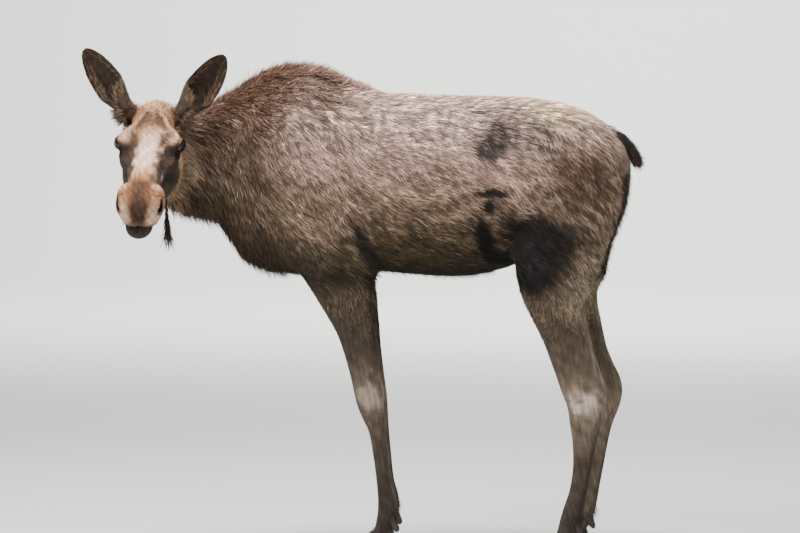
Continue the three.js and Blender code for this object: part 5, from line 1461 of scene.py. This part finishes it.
def brush(name, slot, mask, frame_of):
    """The short coat over some of the skin's triangles, each tuft a thin straight spike."""
    root, n = sow(skin_points, skin_tris, skin_normals, np.where(mask & haired, mid_share, 0))
    length, width, lift, _ = style(root, n)
    count = len(root)
    lie = lie_of(root, n)
    side = np.cross(n, lie)
    _, _, z, onto = measures(root)
    body = (1 - onto) * (0.25 * rising(z, 300, 600) + 0.75 * rising(z, 760, 1080))
    streak = streaks(root)
    lie = unit(lie + (0.15 * rng.normal(size=count) + 0.10 * streak * body)[:, None] * side)
    back = body * rising(z, 1340, 1460)
    shade = (rng.normal(size=count) * (0.26 + 0.16 * body + 0.14 * back)
             + streak * (0.26 + 0.34 * body + 0.24 * back))
    tint = coat_colour_and_light(root, n) * np.exp(shade)[:, None]
    light = dot(tint, [1, 1, 1]) / 3
    pale = (rng.random(count) < 0.22) * body * rising(light, 0.04, 0.14) * (shade > -0.2)
    tip = tint * (1.15 + 0.4 * rng.random(count) * body)[:, None]
    tip = mixed(tip, 0.45 * pale, tone(222, 200, 184))
    length = length * (1 + 0.2 * rng.normal(size=count).clip(-2, 2))
    add_coat(name, slot, root, n, lie, length, width * (1 + 0.15 * rng.normal(size=count).clip(-2, 2)),
             lift * (1 + 0.5 * rng.normal(size=count).clip(-1.6, 2.2)), tint, tip, frame_of, stations=SPIKE)


TRUNK_LINE = (place(0, 0, 1260), (1, 0, 0), UP, -480.0, 760.0)
HEAD_LINE = (HEAD_CENTRE - 40 * MM * CROWN, NOSE, CROWN, -260.0, 340.0)
NECK_LINE = (place(-450, 0, 1300), (-0.86, -0.5, 0.0), UP, -60.0, 420.0)
on_body = ~on_leg & (monto < 0.5)
for side, sign in SIDES.items():
    beside = my * sign > 0
    brush(f"coat_forequarter_{side}", "coat", on_body & beside & (mx >= -440) & (mx < -90), TRUNK_LINE)
    brush(f"coat_barrel_{side}", "coat", on_body & beside & (mx >= -90) & (mx < 300), TRUNK_LINE)
    brush(f"coat_hindquarter_{side}", "coat", on_body & beside & (mx >= 300), TRUNK_LINE)
    for limb, x, is_limb in (("foreleg", -110, mx < 200), ("hindleg", 570, mx >= 200)):
        leg_line = (place(x, sign * 110, 0), (0, 0, 1), FORWARD, 0.0, 1000.0)
        brush(f"coat_{limb}_{side}", "coat", on_leg & beside & is_limb, leg_line)
    brush(f"coat_neck_{side}", "coat", on_body & beside & (mx < -440), NECK_LINE)
brush("coat_poll", "face", (monto >= 0.5) & (mnose < -10), HEAD_LINE)
brush("coat_face", "face", (monto >= 0.5) & (mnose >= -10), HEAD_LINE)


def dress(name, slot, mask, count, way, length, width, lift, tint, tip, frame_of, spread=0.2, stations=BENT,
          **more):
    """Long hair on some of the skin's triangles: way gives its directions from roots and normals, and
    length is in mm or a function of the roots."""
    root, n = sow(skin_points, skin_tris, skin_normals, np.where(mask, skin_area, 0) * count
                  / skin_area[mask].sum())
    lie = way(root, n)
    lie = unit(lie + spread * rng.normal(size=lie.shape))
    lie = unit(lie - 0.999 * dot(lie, n)[:, None].clip(None, 0) * n)
    k = len(root)
    own = length(root) if callable(length) else length
    return add_coat(name, slot, root, n, lie, own * (1 + 0.22 * rng.normal(size=k).clip(-2, 2)),
                    width * (1 + 0.2 * rng.normal(size=k).clip(-2, 2)), lift, tint(root, n), tip(root, n),
                    frame_of, stations=stations, sink=3.0, curl=0.16 * rng.normal(size=k), **more)


def varied(colour, amount=0.18):
    """A way to give every tuft its own shade of one colour."""
    return lambda root, n: tone(*colour) * np.exp(amount * rng.normal(size=len(root)))[:, None]


def as_marked(share, warm=(1.0, 1.0, 1.0), amount=0.2):
    """A way to give every tuft the coat's colour at its root, painted light and shade included, made darker
    or lighter and a little warmer."""
    def tint(root, n):
        own = np.exp(amount * rng.normal(size=len(root)))[:, None]
        return coat_colour_and_light(root, n) * share * np.array(warm) * own
    return tint


crest_x = [r[0] for r in CREST_ROWS]
over = np.interp(mx, crest_x, [r[2] for r in CREST_ROWS])
path_y = np.interp(mx, crest_x, [r[1] for r in CREST_ROWS])
beside_crest = np.abs(my - path_y)
crest_zone = within(mx, -690, -110) & (beside_crest < 50) & (mz > over - 60) & (monto < 0.3)
crest_skirt = within(mx, -690, -60) & within(beside_crest, 24, 125) & (mz > over - 190) & (monto < 0.2)


def crest_way(root, n):
    x = measures(root)[0]
    back = unit(np.array([1.0, 0, 0]) + falling(x, -640, -470)[:, None] * np.array([0, 0.45, 0]))
    return 0.60 * n + 0.80 * back


def crest_length(root):
    x = measures(root)[0]
    return 20 + 34 * band(x, -700, -560, -300, -120)


dress("coat_crest", "coat", crest_zone, 6200, crest_way, crest_length, 3.2, 0.05,
      as_marked(0.7, amount=0.35), as_marked(1.8, (1.06, 1.0, 0.96), 0.45), TRUNK_LINE, hang=0.12)
dress("coat_crest_skirt", "coat", crest_skirt, 4800, lambda r, n: lie_of(r, n) + 0.38 * n,
      lambda r: 0.8 * crest_length(r), 3.0, 0.08, as_marked(0.8, amount=0.25),
      as_marked(1.5, (1.05, 1.0, 0.96), 0.4), TRUNK_LINE, hang=0.1)

throat = within(mx, -775, -320) & (mid_n[:, 2] < -0.35) & (mz < 1210) & (monto < 0.6) & (mz > 960)
dress("coat_throat", "coat", throat, 3900, lambda r, n: lie_of(r, n) + [0.25, 0, -0.8],
      lambda r: 46 - 24 * rising(measures(r)[0], -470, -340),
      3.4, 0.12, as_marked(0.7), as_marked(1.6, amount=0.35), NECK_LINE, hang=0.3)

thigh = (mx > 600) & (mid_n[:, 0] > 0.45) & (np.abs(np.abs(my) - 96) < 36) & within(mz, 960, 1300)
dress("coat_thigh_fringe", "coat", thigh, 2400, lambda r, n: 0.35 * n - UP, 32,
      3.0, 0.05, varied((30, 25, 23), 0.2), varied((60, 50, 42), 0.35), TRUNK_LINE, hang=0.1)

belly = (mid_n[:, 2] < -0.4) & within(mx, -380, 300) & within(mz, 930, 1080) & on_body
dress("coat_belly", "coat", belly, 2600, lambda r, n: 0.3 * n + [0.9, 0, -0.25], 30,
      3.0, 0.05, as_marked(0.7), as_marked(1.4, amount=0.3), TRUNK_LINE, hang=0.1)

tail_way = unit(np.array([0.66, 0.0, -0.75]))
dress("coat_tail", "dark_coat", on_tail, 2200, lambda r, n: tail_way + 0.32 * n, 44,
      3.2, 0.06, varied((44, 36, 32), 0.25), varied((78, 66, 58), 0.35), TRUNK_LINE, spread=0.16, hang=0.12)

for limb in FEET:
    for side, sign in SIDES.items():
        rim = (mz < 104) & (my * sign > 0) & ((mx > 200) == (limb == "hindleg")) & (hoof_plane(mid) > -2 * MM)
        line = (place(-72 if limb == "foreleg" else 531, sign * 105, 0), (0, 0, 1), FORWARD, 0.0, 1000.0)
        dress(f"coat_{limb}_rim_{side}", "coat", rim, 1300, lambda r, n: 0.62 * n - 0.8 * UP, 28,
              2.2, 0.05, as_marked(0.8), as_marked(1.25, amount=0.3), line, stations=SPIKE, hang=0.2)
        dew_x, dew_z = FEET[limb][3]
        above_dewclaws = place(dew_x - 14 + (FEET[limb][2] if sign > 0 else 0), sign * FEET[limb][1],
                               dew_z + 28)
        fetlock = (np.linalg.norm(mid - above_dewclaws, axis=1) < 36 * MM) & (mid_n[:, 0] > 0.1)
        dress(f"coat_{limb}_fetlock_{side}", "coat", fetlock, 260, lambda r, n: 0.5 * n - UP, 26,
              2.2, 0.05, as_marked(0.8), as_marked(1.3, amount=0.3), line, stations=SPIKE, hang=0.1)

jaw = (monto > 0.6) & (mcrown < -110) & (mnose < 160) & (mid_n @ CROWN < -0.3)
dress("coat_jaw", "face", jaw, 900, lambda r, n: lie_of(r, n) + 0.3 * n - 0.3 * UP, 20,
      2.0, 0.08, as_marked(0.8), as_marked(1.4, amount=0.3), HEAD_LINE, hang=0.15)

# Coarse dark hairs fleck the forehead.
forehead = (monto > 0.5) & (mcrown > 28) & within(mnose, -150, 14) & (np.abs(mleft) < 84)
dress("coat_forehead_flecks", "face", forehead, 2600, lambda r, n: lie_of(r, n) + 0.22 * n,
      14, 1.6, 0.1, as_marked(0.6, amount=0.5), as_marked(0.85, (1.05, 1, 0.95), 0.5),
      HEAD_LINE, stations=SPIKE)

# Dark hair fills the angle below each ear, at the temples.
for s, side in ((1, "left"), (-1, "right")):
    ear_gap = np.linalg.norm(mid - head_point(*EAR_FEET[s]) - 8 * MM * head_way(s, 0.3, -0.4), axis=1) / MM
    temple = (monto > 0.4) & (ear_gap < 72) & (mleft * s - 0.5 * (mcrown - 50) > 78) & (mcrown < 84)
    dress(f"coat_temple_{side}", "dark_coat", temple, 900,
          lambda r, n: 0.6 * n + head_way(s * 0.7, -0.3, -0.6), 36, 2.6, 0.1,
          varied((62, 48, 39), 0.25), varied((108, 86, 69), 0.4), HEAD_LINE)

# The bell's hair hangs from all round its fold of skin, longest from its tip.
k = 420
t = rng.random(k) ** 0.7
around = rng.random(k) * 2 * math.pi
out = np.stack([np.sin(around), np.cos(around), 0 * t], 1)
bell_root = bell_point(t) + out * ((1 - 0.68 * t)[:, None] * [6.5, 9.5, 0]) * 0.8 * MM
add_coat("coat_bell", "dark_coat", bell_root, out,
         unit(np.array([0.06, -0.02, -1]) + 0.10 * rng.normal(size=(k, 3))),
         24 + 104 * rising(t, 0.35, 1.0) * (0.5 + 0.5 * rng.random(k)), 2.6, 0.05,
         varied((38, 31, 27))(t, 0), varied((70, 58, 48))(t, 0),
         (bell_point(0.0), (0, 0, -1), FORWARD, 0.0, 160.0), stations=(0.0, 0.35, 0.7),
         curl=0.12 * rng.normal(size=k))


def ear_hair(s, side):
    """Hair of one ear: short and flat outside with a dark rim, and inside long hair that grows in from both
    edges and up from the root, some of it pale, in streaks that slant to the tip."""
    foot, axis, facing, across = ear_frame(s)
    line = (foot, axis, facing, -20.0, 240.0)

    def wall(t, j, inset):
        here = ear_point(s, t, ear_arc(t) * j, inset + 0 * t)
        up = unit(ear_point(s, t + 0.01, ear_arc(t) * j, inset + 0 * t) - here)
        around = unit(ear_point(s, t, ear_arc(t) * (j + 0.01), inset + 0 * t) - here)
        return here, up, around

    k = 5200
    t, j = -0.08 + 1.02 * rng.random(k) ** 0.85, rng.uniform(-1, 1, k)
    here, up, around = wall(t, j, 1.2)
    n = unit(np.cross(around, up))
    n = n * np.sign(dot(n, here - (foot + (EAR_LENGTH * MM * t)[:, None] * axis)))[:, None]
    dark = varied((60, 46, 37), 0.2)(t, 0)
    dark = mixed(dark, 0.7 * rising(np.abs(j), 0.84, 1.0), tone(30, 23, 20))
    dark = mixed(dark, 0.5 * falling(t, 0.0, 0.2), tone(40, 31, 26))
    tip = mixed(dark * 1.35, 0.35 * (rng.random(k) < 0.3), tone(140, 114, 92))
    add_coat(f"coat_ear_{side}_outer", "dark_coat", here, n, unit(up + 0.18 * rng.normal(size=(k, 3))),
             14 - 5 * t.clip(0), 2.0, 0.12, dark, tip, line, stations=SPIKE)
    k = 4200
    t = 0.03 + 0.92 * rng.random(k)
    j = np.sign(rng.random(k) - 0.5) * (1 - 0.62 * rng.random(k) ** 1.3)
    here, up, around = wall(t, j, 5.0 - 2 * t)
    inward = -around * np.sign(j)[:, None]
    n = unit(np.cross(up, around))
    n = n * np.sign(dot(n, foot + (EAR_LENGTH * MM * t)[:, None] * axis + 0.02 * facing - here))[:, None]
    slant = np.sin(34 * t - 7 * np.abs(j)) + 0.7 * np.sin(61 * t + 9 * np.abs(j))
    pale = rising(slant + 0.5 * rng.normal(size=k), 0.2, 1.4) * rising(np.abs(j), 0.35, 0.6)
    vein = np.maximum(bell_curve(np.abs(j) - 0.52 - 0.10 * np.sin(5 * t), 0.05),
                      bell_curve(np.abs(j) - 0.8, 0.04))
    pale = np.maximum(pale, vein * band(t, 0.08, 0.25, 0.7, 0.9))
    tint = mixed(varied((66, 47, 35), 0.35)(t, 0), 0.45 * pale, tone(118, 96, 80))
    tint = mixed(tint, 0.75 * falling(t, 0.14, 0.36), tone(40, 31, 24))
    # Painted shade deep in the middle of the ear's cup.
    hollow = (1 - rising(np.abs(j), 0.3, 0.62)) * (1 - rising(t, 0.45, 0.8))
    tint = mixed(tint, 0.85 * hollow, tone(22, 15, 11))
    tip = mixed(tint * 1.3, 0.7 * pale * (1 - 0.6 * falling(t, 0.16, 0.36)), tone(176, 152, 128))
    add_coat(f"coat_ear_{side}_inner", "dark_coat", here, n,
             unit(0.7 * inward + up + 0.2 * rng.normal(size=(k, 3))), 22 + 10 * rng.random(k) - 10 * t, 1.7,
             0.22, tint, tip, line, stations=SPIKE)
    # A tuft of straw-coloured hair at the inner foot of the opening.
    k = 240
    t, j = 0.0 + 0.2 * rng.random(k), -s * np.sign(across @ HEAD_LEFT) * rng.uniform(0.35, 1, k)
    here, up, around = wall(t, j, 5.0)
    add_coat(f"coat_ear_{side}_tuft", "dark_coat", here, unit(facing + 0 * here),
             unit(up + 0.25 * facing + 0.16 * rng.normal(size=(k, 3))), 26 + 12 * rng.random(k), 1.8, 0.12,
             varied((60, 47, 37))(t, 0), varied((112, 92, 68), 0.35)(t, 0), line)


def lashes(s, side):
    """A row of lashes that curve out and down from the upper lid's edge, and a shorter one under the eye."""
    gaze, along, up = lid_frame(s)
    k = 54
    u = np.linspace(-0.86, 0.86, k) + 0.01 * rng.normal(size=k)
    upper = np.arange(k) % 3 > 0
    v = LID_OPEN * (1 - u**2) ** 0.8 * np.where(upper, 1.06, -0.94)
    out = np.sqrt((LID_RADIUS / MM) ** 2 - (u * LID_LONG) ** 2 - v**2) + 0.2
    root = eye_centre(s) + ((u * LID_LONG)[:, None] * along + (v + np.sign(v) * 1.2)[:, None] * up
                            + out[:, None] * gaze) * MM
    way = unit(gaze + 0.35 * u[:, None] * along + np.where(upper, 0.25, -0.5)[:, None] * up)
    n = unit(np.cross(along, way) * s)
    n = np.where((dot(n, up) < 0)[:, None], -n, n)
    black = plain(k, 20, 16, 14)
    add_coat(f"lashes_{side}", "dark_coat", root, n, way,
             np.where(upper, 13.0, 7.0) * (1 - 0.3 * np.abs(u)), 0.9, -0.1, black, black,
             (eye_centre(s), gaze, up, -40.0, 60.0), hang=np.where(upper, 0.15, 0.0), sink=0.5,
             stations=(0.0, 0.5))


for s, side in ((1, "left"), (-1, "right")):
    ear_hair(s, side)
    lashes(s, side)

whisker_zone = (monto > 0.6) & (mnose > 225) & (np.abs(mouth_measures(mid)[1]) < 26) & ~skin_bare
dress("whiskers", "face", whisker_zone, 90, lambda r, n: n + 0.5 * NOSE - 0.4 * UP, 24,
      0.7, 0.0, varied((50, 42, 36)), varied((120, 108, 96)), HEAD_LINE, hang=0.2)


# ---------- floor, light and camera ----------
CAMERA_TARGET = place(0, 0, 975)
CAMERA_AZIMUTH, CAMERA_ELEVATION = math.radians(6), math.radians(3)
CAMERA_DISTANCE, CAMERA_LENS = 12.0, 163.6


def simple_finish(name, colour, roughness):
    material = bpy.data.materials.new(name)
    material.use_nodes = True
    shader = material.node_tree.nodes["Principled BSDF"]
    shader.inputs["Base Color"].default_value = (*colour, 1)
    shader.inputs["Roughness"].default_value = roughness
    return material


def backdrop():
    """A pale floor that curves up into a wall far behind: a profile carried along a straight line."""
    bend = np.linspace(0, math.pi / 2, 24)
    y = np.concatenate([[-30], 16 + 4 * np.sin(bend), [20]])
    z = np.concatenate([[0], 4 - 4 * np.cos(bend), [20]])
    x = np.array([-40.0, 40.0])
    points = np.stack([np.repeat(x, len(y)), np.tile(y, 2), np.tile(z, 2)], 1)
    a = np.arange(len(y) - 1)
    tris = np.concatenate([np.stack([a, a + len(y), a + 1], 1),
                           np.stack([a + 1, a + len(y), a + len(y) + 1], 1)])
    return make_object("floor", points, tris, [simple_finish("pale floor", (0.74, 0.74, 0.72), 0.9)])


backdrop()


def lamp(name, azimuth, elevation, distance, size, power):
    """A square soft light that looks at the middle of the figure."""
    light = bpy.data.lights.new(name, "AREA")
    light.size, light.energy = size, power
    obj = bpy.data.objects.new(name, light)
    bpy.context.scene.collection.objects.link(obj)
    a, e = math.radians(azimuth), math.radians(elevation)
    back = Vector((math.sin(a) * math.cos(e), -math.cos(a) * math.cos(e), math.sin(e)))
    obj.location = Vector((0, 0, 1.0)) + distance * back
    obj.rotation_euler = (-back).to_track_quat("-Z", "Y").to_euler()
    return obj


for name, azimuth, elevation, distance, size, power in (
        ("sky", -10, 74, 6.0, 1.8, 720), ("key", -38, 42, 6.0, 2.2, 330), ("fill", 50, 18, 7.0, 4.0, 60),
        ("back", 170, 40, 6.0, 3.0, 150)):
    lamp(name, azimuth, elevation, distance, size, power)
wall_light = lamp("wall", 180, 35, 14.0, 9.0, 3200)
wall_light.rotation_euler = (Vector((0, 19, 3)) - wall_light.location).to_track_quat("-Z", "Y").to_euler()
world = bpy.data.worlds.new("studio")
world.use_nodes = True
world.node_tree.nodes["Background"].inputs["Color"].default_value = (0.9, 0.95, 1.0, 1)
world.node_tree.nodes["Background"].inputs["Strength"].default_value = 0.32
bpy.context.scene.world = world

camera_data = bpy.data.cameras.new("camera")
camera_data.sensor_width, camera_data.lens = 36.0, CAMERA_LENS
camera_data.clip_start, camera_data.clip_end = 0.1, 200.0
camera = bpy.data.objects.new("camera", camera_data)
bpy.context.scene.collection.objects.link(camera)
forward = Vector((-math.sin(CAMERA_AZIMUTH) * math.cos(CAMERA_ELEVATION),
                  math.cos(CAMERA_AZIMUTH) * math.cos(CAMERA_ELEVATION), -math.sin(CAMERA_ELEVATION)))
camera.location = Vector(CAMERA_TARGET) - CAMERA_DISTANCE * forward
camera.rotation_euler = forward.to_track_quat("-Z", "Y").to_euler()
bpy.context.scene.camera = camera
